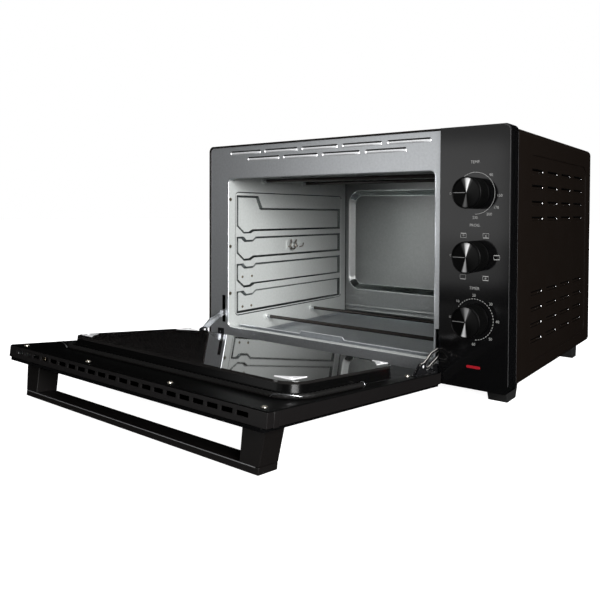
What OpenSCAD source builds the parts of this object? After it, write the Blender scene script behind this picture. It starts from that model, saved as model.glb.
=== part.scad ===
// Countertop rotisserie oven: a sheet-steel body around an embossed cavity, a control fascia with
// three knobs, and a drop-down door held open by two check arms.
//
// The parts are drawn in oven coordinates: X from the left side of the body, Y back from the front
// frame, Z up from the underside of the body. in_oven() moves them to the part's own frame, whose
// origin is the middle of the base. The door is drawn open, as it stands at rest.

/* [Body] */
// Outside width of the wrap
body_w = 595; // [593:1:597]
// Height of the body without its feet
body_h = 366; // [364:1:372]
// Depth from the front frame to the rear cover
body_d = 415; // [410:1:440]
// Radius of the wrap's upper corners
body_r = 10; // [6:1:14]
// Height of the feet
foot_h = 19; // [19:1:26]
// Thickness of the outer sheets
sheet = 1; // [0.8:0.1:1.2]

/* [Cavity] */
// Left edge of the door opening
cavity_x0 = 50.5; // [50:0.5:51]
// Right edge of the door opening
cavity_x1 = 484; // [483.5:0.5:484.5]
// Sill of the door opening
cavity_z0 = 31; // [30:0.5:31]
// Top of the door opening
cavity_z1 = 306; // [306:1:308]
// Depth of the cavity
cavity_d = 358; // [350:1:360]
// Thickness of the cavity sheets
liner = 0.8; // [0.6:0.1:0.8]
// Depth of the shallow field pressed into each side wall
field_depth = 1; // [0.5:0.5:1]
// Depth of the rack pockets below that field
pocket_depth = 3; // [2:0.5:3]

/* [Door] */
// Length of the door from its hinge edge to its outer end
door_l = 341.7; // [340:0.1:343]
// Left edge of the door
door_x0 = 0; // [0:0.5:3]
// Right edge of the door
door_x1 = 500; // [498:0.5:501]
// Thickness of the door
door_t = 20.5; // [19.5:0.5:21]
// Angle that the open door rises towards its outer end
door_rise = 6.35; // [6:0.05:6.5]
// Height of the raised window panel above the door's inner face
plug_h = 17; // [14:0.5:17]
// Thickness of the outer glass
glass_t = 4; // [3:0.5:4]
// Radius of the hinge pins
hinge_pin_r = 2; // [1.5:0.1:2.2]

/* [Controls] */
// Left edge of the fascia
fascia_x0 = 494; // [494:0.5:496]
// Right edge of the fascia
fascia_x1 = 601; // [600:0.5:603]
// How far the fascia stands in front of the frame
fascia_proud = 3.6; // [3:0.1:4]
// Height of the lowest knob
knob_z0 = 97.8; // [95:0.1:100]
// Height between knobs
knob_pitch = 87.4; // [85:0.1:88]
// Radius of the knobs
knob_r = 21.7; // [18:0.1:23]
// Length of the knobs
knob_l = 28.4; // [24:0.1:30]

/* [Hidden] */
$fn = 48;
eps = 0.01;

// --- where things stand ---------------------------------------------------------------------
door_edge = [-14.26, 17.83];        // Y, Z of the open door's hinge-side inner edge
hinge_st = [-1.345, 5.213];         // hinge axis from that edge: along the door, into the door
hinge_yz = door_point(hinge_st[0], hinge_st[1]);
spacer_l = 10;
y_front = door_point(door_l, door_t)[0];
origin = [fascia_x1 / 2, (y_front + body_d + spacer_l) / 2, -foot_h];

hinge_x = [37.8, 490.5];            // planes of the left and right hinges and check arms
slot_w = [9.4, 8];
slot_z = [[39, 89], [30, 77]];      // lowest and highest point of each arm slot
arm_pin_st = [33, -11];             // check arm pin on the open door
arm_pin_r = 2;
arm_t = 2;
run_gap = 0.04;                     // radial clearance of every turning pin
side_gap = 0.4;                     // clearance beside every turning plate

spit_yz = [172, 176];
knob_x = 549;
knob_z = [for (i = [0:2]) knob_z0 + i * knob_pitch];
spindle_r = 3;

floor_z = 8;
roof_z = 316;
flange_d = 12;                      // depth of the frame's return flange
heater_r = 3.3;
heater_upper_yz = [[90, 305], [207, 305]];
heater_lower_yz = [[101, 37], [235, 37]];

// A point on the open door: s along it from the hinge edge, t into it from its inner face
function door_point(s, t) = [
    door_edge[0] - s * cos(door_rise) - t * sin(door_rise),
    door_edge[1] + s * sin(door_rise) - t * cos(door_rise)
];

module in_oven() translate(-origin) children();

// Draws in door coordinates: X across, Y along the door, Z from the inner face to the outer one
module on_door() in_oven() translate([0, door_edge[0], door_edge[1]])
    rotate([180 - door_rise, 0, 0]) children();

// Extrudes a shape drawn in X and Z from y0 to y1
module along_y(y0, y1) translate([0, y1, 0]) rotate([90, 0, 0]) linear_extrude(y1 - y0) children();

// Extrudes a shape drawn in Y and Z from x0 to x1
module along_x(x0, x1) translate([x0, 0, 0]) rotate([90, 0, 90]) linear_extrude(x1 - x0) children();

module rod_x(x0, x1, r) translate([x0, 0, 0]) rotate([0, 90, 0]) cylinder(r = r, h = x1 - x0);

module rod_y(y0, y1, r) translate([0, y1, 0]) rotate([90, 0, 0]) cylinder(r = r, h = y1 - y0);

module box(x0, y0, z0, x1, y1, z1) translate([x0, y0, z0]) cube([x1 - x0, y1 - y0, z1 - z0]);

module rounded(x0, y0, x1, y1, r) {
    translate([x0 + r, y0]) square([x1 - x0 - 2 * r, y1 - y0]);
    translate([x0, y0 + r]) square([x1 - x0, y1 - y0 - 2 * r]);
    for (x = [x0 + r, x1 - r], y = [y0 + r, y1 - r]) translate([x, y]) circle(r);
}

// --- louvres --------------------------------------------------------------------------------
louvre_h = 5;
louvre_in = 4;

// Slot of one louvre, drawn from its lower left corner
module louvre_slot(length) rounded(0, 0, length, louvre_h, louvre_h / 2 - eps);

// The tongue of metal behind a slot: it leans inwards from the lower edge, along +Y
module louvre_tongue(length) translate([louvre_h / 2, 0, 0])
    along_x(0, length - louvre_h)
        polygon([[0, -1], [0, 0], [louvre_in - 0.8, louvre_h - 1], [louvre_in, louvre_h - 1], [0.8, -1]]);

front_louvre = [76, 86];            // length and pitch
front_louvre_rows = [[56.5, 5, 350], [101, 4, 338]];    // first X, count and Z of each row
side_louvre = [48, 71];
side_louvre_y0 = 97;
side_louvre_z = [for (group = [51, 234], i = [0:3]) group + 23.8 * i];

module front_louvres() for (row = front_louvre_rows, i = [0:row[1] - 1])
    translate([row[0] + i * front_louvre[1], 0, row[2]]) children();

// Places children, drawn along +Y at X = 0, at each side louvre
module side_louvres() for (z = side_louvre_z, i = [0:3])
    translate([0, side_louvre_y0 + i * side_louvre[1], z]) children();

// --- outer shell ----------------------------------------------------------------------------
panel_yz = [[80, 24], [386, 332]];  // field pressed into each side of the wrap
panel_in = 1.5;

module wrap_section(inset) rounded(inset, inset, body_w - inset, body_h - inset, body_r - inset);

// The wrap's front edge is turned in to a thick hem, which stands proud of the frame beside the door
hem = 2.8;
hem_y = [-2, 5];

// One side of the wrap, drawn with its outer face at X = 0 and its inside at +X
module wrap_field(x0, x1, grow) along_x(x0, x1)
    rounded(panel_yz[0][0] - grow, panel_yz[0][1] - grow, panel_yz[1][0] + grow, panel_yz[1][1] + grow, 20);

module side_pads() {
    wrap_field(0, panel_in + sheet, sheet);
    translate([panel_in, 0, 0]) side_louvres()
        translate([0, side_louvre[0], 0]) rotate([0, 0, -90]) louvre_tongue(side_louvre[0]);
}

module side_cuts() {
    wrap_field(-1, panel_in, 0);
    side_louvres() along_x(-1, panel_in + sheet + eps) louvre_slot(side_louvre[0]);
}

module both_sides() {
    children();
    translate([body_w, 0, 0]) mirror([1, 0, 0]) children();
}

module outer_wrap() color("#141312") in_oven() difference() {
    union() {
        difference() {
            union() {
                along_y(0, body_d - sheet) wrap_section(0);
                intersection() {
                    along_y(hem_y[0], 1) wrap_section(0);
                    box(-1, hem_y[0] - 1, -1, fascia_x0 - 0.5, 2, body_h + 1);
                }
            }
            along_y(hem_y[1], body_d) wrap_section(sheet);
            along_y(hem_y[0] - 1, hem_y[1] + 1) wrap_section(hem);
            box(14, hem_y[0] - 1, -1, body_w - 14, body_d, hem + 1);
        }
        both_sides() side_pads();
    }
    both_sides() side_cuts();
}

gland_xz = [540, 45];
gland_r = 7;

module rear_louvres() for (group = [0, 1], row = [0:4])
    translate([110 + group * 250, body_d - sheet, 190 + row * 22]) children();

module rear_cover() color("#1a1a1a") in_oven() difference() {
    union() {
        along_y(body_d - sheet, body_d) rounded(0.5, 0.5, body_w - 0.5, body_h - 0.5, body_r);
        rear_louvres() translate([front_louvre[0], sheet, 0]) rotate([0, 0, 180])
            louvre_tongue(front_louvre[0]);
    }
    rear_louvres() along_y(-eps, sheet + 1) louvre_slot(front_louvre[0]);
    translate([gland_xz[0], 0, gland_xz[1]]) rod_y(body_d - 3, body_d + 1, gland_r + 0.02);
}

module bottom_plate() color("#8f9294") in_oven() difference() {
    box(body_r + 0.2, frame_t + 0.2, sheet + 0.1, body_w - body_r - 0.2, body_d - sheet - 0.2, 2 * sheet + 0.1);
    for (x = [90:40:450], y = [130, 270]) box(x, y, 0, x + 4, y + 60, 4);
    for (x = [0, body_w - 14.2]) box(x, 0, 0, x + 14.2, hem_y[1] + 0.2, 4);
}

frame_t = 1;

module opening(grow) rounded(cavity_x0 - grow, cavity_z0 - grow, cavity_x1 + grow, cavity_z1 + grow, 8 + grow);

module front_frame() color("#b3b6b9") in_oven() difference() {
    union() {
        along_y(0, frame_t) wrap_section(hem + 0.2);
        along_y(0, flange_d) opening(liner);
        front_louvres() louvre_tongue(front_louvre[0]);
    }
    along_y(-1, flange_d + 1) opening(0);
    front_louvres() along_y(-1, frame_t + eps) louvre_slot(front_louvre[0]);
    for (i = [0, 1]) translate([hinge_x[i], 0, 0])
        box(-slot_w[i] / 2, -1, slot_z[i][0], slot_w[i] / 2, frame_t + 1, slot_z[i][1]);
    for (z = knob_z) translate([knob_x, 0, z]) rod_y(-1, frame_t + 1, 5);
    box(lamp_x[0] + 1, -1, lamp_z - 1.5, lamp_x[1] - 1, frame_t + 1, lamp_z + 1.5);
}

// A foot tapers downwards; a rear one is cut short behind
module foot(back) intersection() {
    along_x(-21, 21) polygon([[-22, 0], [min(22, back + 1), 0], [min(16, back), -foot_h], [-16, -foot_h]]);
    along_y(-23, 23) polygon([[-15, 0], [15, 0], [14.5, -foot_h], [-14.5, -foot_h]]);
}

module feet() color("#0f0f0f") in_oven() for (x = [21.5, 573.5]) {
    translate([x, 40, 0]) foot(22);
    translate([x, 353, 0]) foot(5);
}

module rear_spacers() color("#0f0f0f") in_oven() for (x = [70, 525])
    translate([x, 0, 300]) rod_y(body_d, body_d + spacer_l, 9);

module cord_gland() color("#0f0f0f") in_oven() translate([gland_xz[0], 0, gland_xz[1]]) difference() {
    union() {
        rod_y(body_d, body_d + 6, gland_r + 3);
        rod_y(body_d - 4, body_d, gland_r);
    }
    rod_y(body_d - 5, body_d + 7, 4);
}

module case_screws() color("#9a9a9a") in_oven()
    for (x = [14, 205, 390, body_w - 14], z = [14, body_h - 14]) translate([x, 0, z])
        rod_y(body_d, body_d + 2, 3.5);

module flange_screws() color("#6f6a62") in_oven() for (z = [92.5, 180, 267.2]) {
    translate([0, 4.7, z]) rod_x(cavity_x0, cavity_x0 + 0.8, 2.2);
    translate([0, 4.7, z]) rod_x(cavity_x1 - 0.8, cavity_x1, 2.2);
}

// --- cavity ---------------------------------------------------------------------------------
rail_top = [207.5, 156, 104.5];     // upper edges of the three rack rails
rail_h = 11.5;
pocket_y = [21, 337];
field_yz = [[16.5, 48.6], [341, 282]];

// Edges of a rail from front to back: a raised front stop, a dip that holds the rack, then flat
function rail_upper(z, g) = [
    [pocket_y[0] - g, z + 10.5 - g], [39, z - 4.5 - g], [57, z - 4.5 - g], [66, z - g], [pocket_y[1] + g, z - g]
];
function rail_lower(z, g) = [
    [pocket_y[1] + g, z + g], [70, z + g], [62, z - 6 + g], [46, z - 6 + g], [38, z + 1 + g], [pocket_y[0] - g, z + 1 + g]
];
function top_edge(g) = [
    [pocket_y[1] + g, 252 + g], [88 + g, 252 + g], [77 + g, 275 + g], [pocket_y[0] - g, 275 + g]
];
function bottom_edge(g) = [[pocket_y[0] - g, 52.5 - g], [pocket_y[1] + g, 52.5 - g]];

function pocket(i, g) = concat(
    i < 3 ? rail_upper(rail_top[i], g) : bottom_edge(g),
    i == 0 ? top_edge(g) : rail_lower(rail_top[i - 1] - rail_h, g)
);

// One embossed side wall, its inner face at X = 0 and the pockets pressed towards -X
module cavity_side() difference() {
    union() {
        along_x(-liner, 0) translate([flange_d + 0.3, floor_z]) square([cavity_d - flange_d - 0.3, roof_z - floor_z]);
        along_x(-liner - field_depth, 0)
            rounded(field_yz[0][0] - liner, field_yz[0][1] - liner, field_yz[1][0] + liner, field_yz[1][1] + liner, 6);
        for (i = [0:3]) along_x(-liner - field_depth - pocket_depth, 0) polygon(pocket(i, liner));
    }
    along_x(-field_depth, 1) rounded(field_yz[0][0], field_yz[0][1], field_yz[1][0], field_yz[1][1], 6);
    for (i = [0:3]) along_x(-field_depth - pocket_depth, 1) polygon(pocket(i, 0));
    for (p = concat(heater_upper_yz, heater_lower_yz)) translate([0, p[0], p[1]]) rod_x(-9, 1, 4.55);
}

module cavity_left_wall() color("#aeb3b5") in_oven() translate([cavity_x0, 0, 0]) cavity_side();

module cavity_right_wall() color("#aeb3b5") in_oven() difference() {
    translate([cavity_x1, 0, 0]) mirror([1, 0, 0]) cavity_side();
    translate([0, spit_yz[0], spit_yz[1]]) rod_x(cavity_x1 - 1, cavity_x1 + 9, 6);
}

module cavity_roof() color("#aeb3b5") in_oven() {
    box(cavity_x0, flange_d + 0.3, roof_z - liner, cavity_x1, cavity_d, roof_z);
    box(cavity_x0, flange_d + 0.3, cavity_z1, cavity_x1, flange_d + 0.3 + liner, roof_z - liner);
}

module cavity_floor() color("#9a9ea1") in_oven() {
    box(cavity_x0, flange_d + 0.3, floor_z, cavity_x1, cavity_d, floor_z + liner);
    box(cavity_x0, flange_d + 0.3, floor_z + liner, cavity_x1, flange_d + 0.3 + liner, cavity_z0);
}

back_field = [65, 73, 469, 289];
back_in = 12;

module back_outline(g) rounded(back_field[0] - g, back_field[1] - g, back_field[2] + g, back_field[3] + g, 25);

module cavity_back() color("#a5aaac") in_oven() difference() {
    union() {
        box(cavity_x0 - liner, cavity_d, floor_z, cavity_x1 + liner, cavity_d + liner, roof_z);
        along_y(cavity_d, cavity_d + back_in + liner) back_outline(liner);
    }
    along_y(cavity_d - 1, cavity_d + back_in) back_outline(0);
}

tray = [56, 24, 478, 350];          // X and Y of the crumb tray's corners
tray_z = floor_z + liner + 0.2;
tray_lip = 33;

module crumb_tray() color("#8d9194") in_oven() difference() {
    union() {
        box(tray[0], tray[1], tray_z, tray[2], tray[3], tray_z + liner);
        box(tray[0], tray[1], tray_z, tray[2], tray[1] + liner, tray_lip);
        box(205, tray[1], tray_lip - eps, 303, tray[1] + liner, tray_lip + 5);
        for (x = [tray[0], tray[2] - liner]) box(x, tray[1], tray_z, x + liner, tray[3], tray_z + 6);
        box(tray[0], tray[3] - liner, tray_z, tray[2], tray[3], tray_z + 6);
    }
}

heater_x = [40, 494];

module heaters(places) for (p = places) translate([0, p[0], p[1]]) rod_x(heater_x[0], heater_x[1], heater_r);

module upper_heaters() color("#3c3733") in_oven() heaters(heater_upper_yz);

module lower_heaters() color("#3c3733") in_oven() heaters(heater_lower_yz);

// A ceramic bush in the left wall, its bore along X
module bush() difference() {
    union() {
        rod_x(0, 3, 6);
        rod_x(-5, 0, 4.5);
    }
    rod_x(-6, 4, heater_r + 0.05);
}

module heater_bushes() color("#d8d4c8") in_oven() for (p = concat(heater_upper_yz, heater_lower_yz)) {
    translate([cavity_x0, p[0], p[1]]) bush();
    translate([cavity_x1, p[0], p[1]]) mirror([1, 0, 0]) bush();
}

// --- rotisserie drive -----------------------------------------------------------------------
pocket_x0 = cavity_x0 - field_depth - pocket_depth;
pocket_x1 = cavity_x1 + field_depth + pocket_depth;
spit_square = 8;

module spit_support() color("#8a857c") in_oven() translate([0, spit_yz[0], spit_yz[1]]) difference() {
    union() {
        box(pocket_x0, -11, -9, pocket_x0 + 1.5, 38, 11);
        rod_x(pocket_x0 + 1.5, pocket_x0 + 14, 8.5);
        for (y = [-8.5, 5.5]) box(pocket_x0 + 1.5, y, 0, pocket_x0 + 14, y + 3, 13);
    }
    rod_x(pocket_x0 + 3, pocket_x0 + 15, 5.5);
    box(pocket_x0 + 3, -5.5, 0, pocket_x0 + 15, 5.5, 14);
    box(pocket_x0 - 1, 22, -2, pocket_x0 + 2, 27, 6);
}

module spit_socket() color("#77736b") in_oven() translate([0, spit_yz[0], spit_yz[1]]) difference() {
    union() {
        rod_x(pocket_x1 - 17, pocket_x1 - 1, 9);
        rod_x(pocket_x1 - 1, pocket_x1 + 20, 4);
    }
    box(pocket_x1 - 18, -spit_square / 2, -spit_square / 2, pocket_x1 - 4, spit_square / 2, spit_square / 2);
}

module motor_bracket() color("#b3b6b9") in_oven() translate([0, spit_yz[0], spit_yz[1]]) difference() {
    union() {
        box(pocket_x1 + 9, -32, -26, pocket_x1 + 10.5, 32, 26);
        for (y = [-32, 30.5]) box(pocket_x1 + liner + 0.1, y, -18, pocket_x1 + 9, y + 1.5, 18);
    }
    rod_x(pocket_x1 + 8, pocket_x1 + 12, 6);
}

module spit_motor() color("#a8a8a4") in_oven() translate([0, spit_yz[0], spit_yz[1]]) difference() {
    union() {
        box(pocket_x1 + 10.5, -28, -22, pocket_x1 + 28, 28, 22);
        translate([0, 8, 0]) rod_x(pocket_x1 + 28, pocket_x1 + 52, 19);
    }
    rod_x(pocket_x1 + 10, pocket_x1 + 22, 4 + run_gap);
}

module sensor_bulb() color("#b98d5a") in_oven() translate([cavity_x1 - 7, 0, 295]) {
    rod_y(190, 280, 2.5);
    for (y = [205, 262]) box(-2, y, -2.4, 7, y + 3, -1.2);
}

// --- controls -------------------------------------------------------------------------------
fascia_t = 2.5;
skirt_y = 22;
lamp_x = [538, 559];
lamp_z = 31.2;
lamp_r = 2;
control_y = frame_t + 0.2;

// Front outline of the fascia: square corners on the left, rounded ones on the right
module fascia_outline(inset) {
    r = 8;
    translate([fascia_x0, inset]) square([fascia_x1 - fascia_x0 - r, body_h - 2 * inset]);
    translate([fascia_x0, r]) square([fascia_x1 - fascia_x0 - inset, body_h - 2 * r]);
    for (z = [r, body_h - r]) translate([fascia_x1 - r, z]) circle(r - inset);
}

module control_fascia() color("#0b0b0c") in_oven() difference() {
    union() {
        along_y(-fascia_proud, -fascia_proud + fascia_t) fascia_outline(0);
        intersection() {
            along_y(-fascia_proud, skirt_y) fascia_outline(0);
            box(body_w + 0.3, -fascia_proud, -1, fascia_x1 + 1, skirt_y, body_h + 1);
        }
    }
    intersection() {
        along_y(-fascia_proud + fascia_t, skirt_y + 1) fascia_outline(fascia_t);
        box(body_w - 3, -5, -1, fascia_x1 + 1, skirt_y + 2, body_h + 1);
    }
    for (z = knob_z) translate([knob_x, 0, z]) rod_y(-fascia_proud - 1, 0, 5);
    along_y(-fascia_proud - 1, 0) rounded(lamp_x[0], lamp_z - lamp_r, lamp_x[1], lamp_z + lamp_r, lamp_r - eps);
}

module lamp_lens() color("#8c1720") in_oven() along_y(-fascia_proud - 0.5, -fascia_proud + 2.4)
    rounded(lamp_x[0] + 0.1, lamp_z - lamp_r + 0.1, lamp_x[1] - 0.1, lamp_z + lamp_r - 0.1, lamp_r - 0.11);

module lamp_holder() color("#d8d4c8") in_oven() box(lamp_x[0] - 1, control_y, lamp_z - 5, lamp_x[1] + 1, 22, lamp_z + 5);

// A control behind the frame whose spindle turns in a bore along Y
module control_at(i) in_oven() translate([knob_x, 0, knob_z[i]]) difference() {
    children();
    rod_y(control_y - 1, control_y + 8, spindle_r + run_gap);
}

module thermostat() color("#c9c7bf") control_at(2) {
    box(-20, control_y, -18, 20, control_y + 26, 18);
}

module mode_switch() color("#d6d2c6") control_at(1) {
    rod_y(control_y, control_y + 34, 19);
}

module timer_unit() color("#b5b8ba") control_at(0) {
    box(-24, control_y, -26, 24, control_y + 4, 26);
    rod_y(control_y + 4 - eps, control_y + 38, 23);
}

module terminal_block() color("#ded9c8") in_oven() box(520, 380, 30, 560, 400, 60);

module spindle(i) in_oven() translate([knob_x, 0, knob_z[i]])
    rod_y(-fascia_proud - 20, control_y + 7, spindle_r);

module temperature_spindle() color("#9a9a96") spindle(2);

module mode_spindle() color("#9a9a96") spindle(1);

module timer_spindle() color("#9a9a96") spindle(0);

cap_r = knob_r - 1.4;
cap_t = 0.8;
knob_back = 0.8;                    // gap between knob and fascia

// The knob stands on Z = 0 and its face is up
module knob_shape() difference() {
    rotate_extrude($fn = 96) polygon([
        [0, 0], [knob_r - 0.6, 0], [knob_r, 0.6], [knob_r, knob_l - 5], [knob_r - 0.5, knob_l - 4.2],
        [knob_r, knob_l - 3.4], [knob_r, knob_l - 0.8], [knob_r - 0.8, knob_l],
        [cap_r, knob_l], [cap_r, knob_l - cap_t], [0, knob_l - cap_t]
    ]);
    translate([0, 0, -1]) cylinder(r = spindle_r, h = 21 - knob_back);
}

// Stands children, drawn on Z = 0 and rising along +Z, on the fascia in front of control i
module on_fascia(i) in_oven() translate([knob_x, -fascia_proud - knob_back, knob_z[i]])
    rotate([90, 0, 0]) children();

module knob_cap() translate([0, 0, knob_l - cap_t]) difference() {
    cylinder(r = cap_r - 0.02, h = cap_t, $fn = 96);
    translate([-cap_r + 1.5, -0.4, cap_t - 0.3]) cube([cap_r - 2, 0.8, 1]);
}

module temperature_knob() color("#111111") on_fascia(2) knob_shape();

module mode_knob() color("#111111") on_fascia(1) knob_shape();

module timer_knob() color("#111111") on_fascia(0) knob_shape();

module temperature_cap() color("#55565a") on_fascia(2) knob_cap();

module mode_cap() color("#55565a") on_fascia(1) knob_cap();

module timer_cap() color("#55565a") on_fascia(0) knob_cap();

// --- hinges and check arms ------------------------------------------------------------------
tongue_t = 3;
ear_t = 2;
eye_r = 5;
ear_x0 = tongue_t / 2 + side_gap;
arm_ear_t = 1.2;
arm_ear_x0 = arm_t / 2 + side_gap;
arm_pin_yz = door_point(arm_pin_st[0], arm_pin_st[1]);

module hinge_tongues() color("#9b9d9f") in_oven() for (x = hinge_x) difference() {
    union() {
        translate([0, hinge_yz[0], hinge_yz[1]]) rod_x(x - tongue_t / 2, x + tongue_t / 2, eye_r);
        box(x - tongue_t / 2, hinge_yz[0], hinge_yz[1] - eye_r, x + tongue_t / 2, 0, hinge_yz[1] + eye_r);
        box(x - 14, -1.5, 4, x + tongue_t / 2, 0, 27);
    }
    translate([0, hinge_yz[0], hinge_yz[1]]) rod_x(x - tongue_t, x + tongue_t, hinge_pin_r + run_gap);
    translate([x - 8, 0, 20]) rod_y(-2, 1, 1.8);
}

// Ear of a door hinge, in door coordinates
module knuckle_ear(x) difference() {
    union() {
        translate([0, hinge_st[0], hinge_st[1]]) rod_x(x, x + ear_t, eye_r - 0.2);
        along_x(x, x + ear_t) polygon([[-6, 4], [-4, -1.5], [18, -1.5], [18, -0.02], [4.4, -0.02], [3.2, 5]]);
    }
    translate([0, hinge_st[0], hinge_st[1]]) rod_x(x - 1, x + ear_t + 1, hinge_pin_r);
}

module hinge_knuckles() color("#a9abad") on_door() for (x = hinge_x) {
    for (e = [x - ear_x0 - ear_t, x + ear_x0]) knuckle_ear(e);
    box(x - 8, 6, -1.5, x + 8, 18, -0.02);
}

module hinge_pins() color("#c4c5c6") on_door() for (x = hinge_x) translate([0, hinge_st[0], hinge_st[1]])
    rod_x(x - ear_x0 - ear_t, x + ear_x0 + ear_t, hinge_pin_r);

module arm_brackets() color("#c2c4c5") on_door() for (x = hinge_x) {
    difference() {
        for (e = [x - arm_ear_x0 - arm_ear_t, x + arm_ear_x0]) along_x(e, e + arm_ear_t)
            polygon([[21, -1], [51, -1], [40, -13], [36, -15], [31, -15], [27.5, -12]]);
        translate([0, arm_pin_st[0], arm_pin_st[1]]) rod_x(x - 6, x + 6, arm_pin_r);
    }
    box(x - 3.2, 21, -1 - eps, x + 6, 56, -0.02);
}

module arm_pins() color("#d6d7d8") on_door() for (x = hinge_x) translate([0, arm_pin_st[0], arm_pin_st[1]])
    rod_x(x - arm_ear_x0 - arm_ear_t, x + arm_ear_x0 + arm_ear_t, arm_pin_r);

// A check arm, its outline drawn in Y and Z with the door open
module check_arm(x, outline, window, tail) difference() {
    union() {
        along_x(x - arm_t / 2, x + arm_t / 2) polygon(outline);
        translate([0, arm_pin_yz[0], arm_pin_yz[1]]) rod_x(x - arm_t / 2, x + arm_t / 2, eye_r);
    }
    along_x(x - arm_t, x + arm_t) polygon(window);
    translate([0, arm_pin_yz[0], arm_pin_yz[1]]) rod_x(x - arm_t, x + arm_t, arm_pin_r + run_gap);
    translate([0, tail[0], tail[1]]) rod_x(x - arm_t, x + arm_t, 1.5);
}

arm_tail = [[27, 62], [33, 47]];

module check_arm_left() color("#8d9092") in_oven() check_arm(hinge_x[0],
    [[-48.5, 36.6], [-32, 50.5], [-9, 60], [22, 67], [31, 66], [31, 58], [22, 56.5], [-9, 49], [-28, 38.8], [-43, 28.2]],
    [[5, 57], [5, 58], [16, 60], [16, 59]], arm_tail[0]);

module check_arm_right() color("#8d9092") in_oven() check_arm(hinge_x[1],
    [[-48.5, 36.6], [-40, 37.2], [-20.5, 47.3], [5, 50.3], [30, 52], [37, 50], [37, 44], [28, 39.5],
     [5, 35], [-4, 31.2], [-29, 24.6], [-36, 25.8], [-44, 27.8]],
    [[-35.5, 31.5], [-19, 43], [5, 46], [24, 47], [24, 43], [4, 39.5], [-27, 29.2], [-33, 29]], arm_tail[1]);

post_y = 152;

module spring_posts() color("#9b9d9f") in_oven() for (i = [0, 1])
    box(hinge_x[i] - 1, post_y, 2 * sheet + 0.1, hinge_x[i] + 1, post_y + 12, arm_tail[i][1] + 4);

module check_springs() color("#9b9d9f") in_oven() for (i = [0, 1])
    translate([hinge_x[i], 0, arm_tail[i][1]]) difference() {
        rod_y(arm_tail[i][0] + 5, post_y - 0.2, 4);
        rod_y(arm_tail[i][0] + 4, post_y, 2.8);
    }

// --- door -----------------------------------------------------------------------------------
door_mid = (door_x0 + door_x1) / 2;
plug = [52, 78, 482, 289];          // raised window panel: X and distance from the hinge edge
plug_r = 28;
rim = 4;
rail_s = 333;                       // where the top rail begins
pan_t = 1;
rail_t1 = door_t - glass_t - 0.1;

module plug_outline(inset) rounded(plug[0] + inset, plug[1] + inset, plug[2] - inset, plug[3] - inset, plug_r - inset);

module slab(z0, z1) translate([0, 0, z0]) linear_extrude(z1 - z0) children();

module hinge_notches() for (x = hinge_x) box(x - 6, -1, -1, x + 6, 5, 11);

module outer_glass() color("#08080a") on_door()
    slab(door_t - glass_t, door_t) rounded(door_x0 + 4, -11, door_x1 - 4, door_l, 3);

module inner_pan() color("#131314") on_door() difference() {
    union() {
        slab(0, pan_t) rounded(door_x0, 0, door_x1, door_l - 0.3, 2.5);
        for (x = [door_x0, door_x1 - pan_t]) box(x, -8, 0.5, x + pan_t, rail_s - 0.5, rail_t1);
        box(door_x0 + 2.5, 0, 0.5, door_x1 - 2.5, pan_t, rail_t1);
        slab(-plug_h + 0.4, pan_t) plug_outline(0);
    }
    slab(-plug_h - 1, -plug_h + 3.4) plug_outline(rim - 2.6);
    slab(-plug_h - 1, pan_t + 1) plug_outline(rim + 8);
    slab(-plug_h + 4.4, pan_t + 1) plug_outline(1);
    hinge_notches();
}

module inner_glass() color("#1b1c1e") on_door() slab(-plug_h, -plug_h + 3.4 - eps) plug_outline(rim - 2.5);

clip_leg = 26;

module glass_clips() color("#c9cbcc") on_door()
    for (c = [[60, 84, 0], [467, 84, 90], [467, 274, 180], [60, 274, 270]])
        translate([c[0], c[1], -plug_h - 0.8]) rotate([0, 0, c[2]]) linear_extrude(0.78)
            polygon([[0, 0], [clip_leg, 0], [0, clip_leg]]);

gasket_r = 3.7;
gasket_out = 8;
gasket_s0 = 172;

// A seal on three sides of the window panel, open towards the hinges
module door_gasket() color("#1d1c1b") on_door() translate([0, 0, -gasket_r - 0.1]) {
    bend = plug_r + gasket_out;
    x0 = plug[0] - gasket_out;
    x1 = plug[2] + gasket_out;
    s1 = plug[3] + gasket_out;
    for (x = [x0, x1]) translate([x, 0, 0]) rod_y(gasket_s0, s1 - bend, gasket_r);
    translate([0, s1, 0]) rod_x(x0 + bend, x1 - bend, gasket_r);
    for (c = [[x0 + bend, 90], [x1 - bend, 0]]) translate([c[0], s1 - bend, 0]) rotate([0, 0, c[1]])
        rotate_extrude(angle = 90) translate([bend, 0]) circle(gasket_r);
}

vents = 21;
vent_w = 16.8;
vent_pitch = 21.94;
vent_x0 = 19;

module door_top_rail() color("#171717") on_door() difference() {
    box(door_x0, rail_s, pan_t + 0.05, door_x1, door_l, rail_t1);
    box(door_x0 + 1.5, rail_s - 1, pan_t - 1, door_x1 - 1.5, door_l - 1.5, rail_t1 - 1.5);
    for (i = [0:vents - 1]) translate([vent_x0 + i * vent_pitch, door_l - 4, 5.2]) cube([vent_w, 8, 5]);
}

module door_bottom_rail() color("#707376") on_door() difference() {
    box(door_x0 + 17, 6, pan_t + 0.05, door_x1 - 17, 20, rail_t1);
    box(door_x0 + 16, 7.2, pan_t + 1.2, door_x1 - 16, 21, rail_t1 - 1.2);
}

module door_side_rails() color("#707376") on_door() for (x = [door_x0 + 2, door_x1 - 16]) difference() {
    box(x, 6, pan_t + 0.05, x + 14, rail_s - 1, rail_t1);
    box(x + 1.2, 5, pan_t + 1.2, x + 12.8, rail_s, rail_t1 - 1.2);
}

module pan_screws() color("#c8c2b0") on_door() {
    for (x = [22, 176, 339, 484]) translate([x, 330, -1.4]) cylinder(r = 3.6, h = 1.38);
    translate([hinge_x[1] - 6.5, 60, -1.2]) cylinder(r = 2.4, h = 1.18);
}

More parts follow.
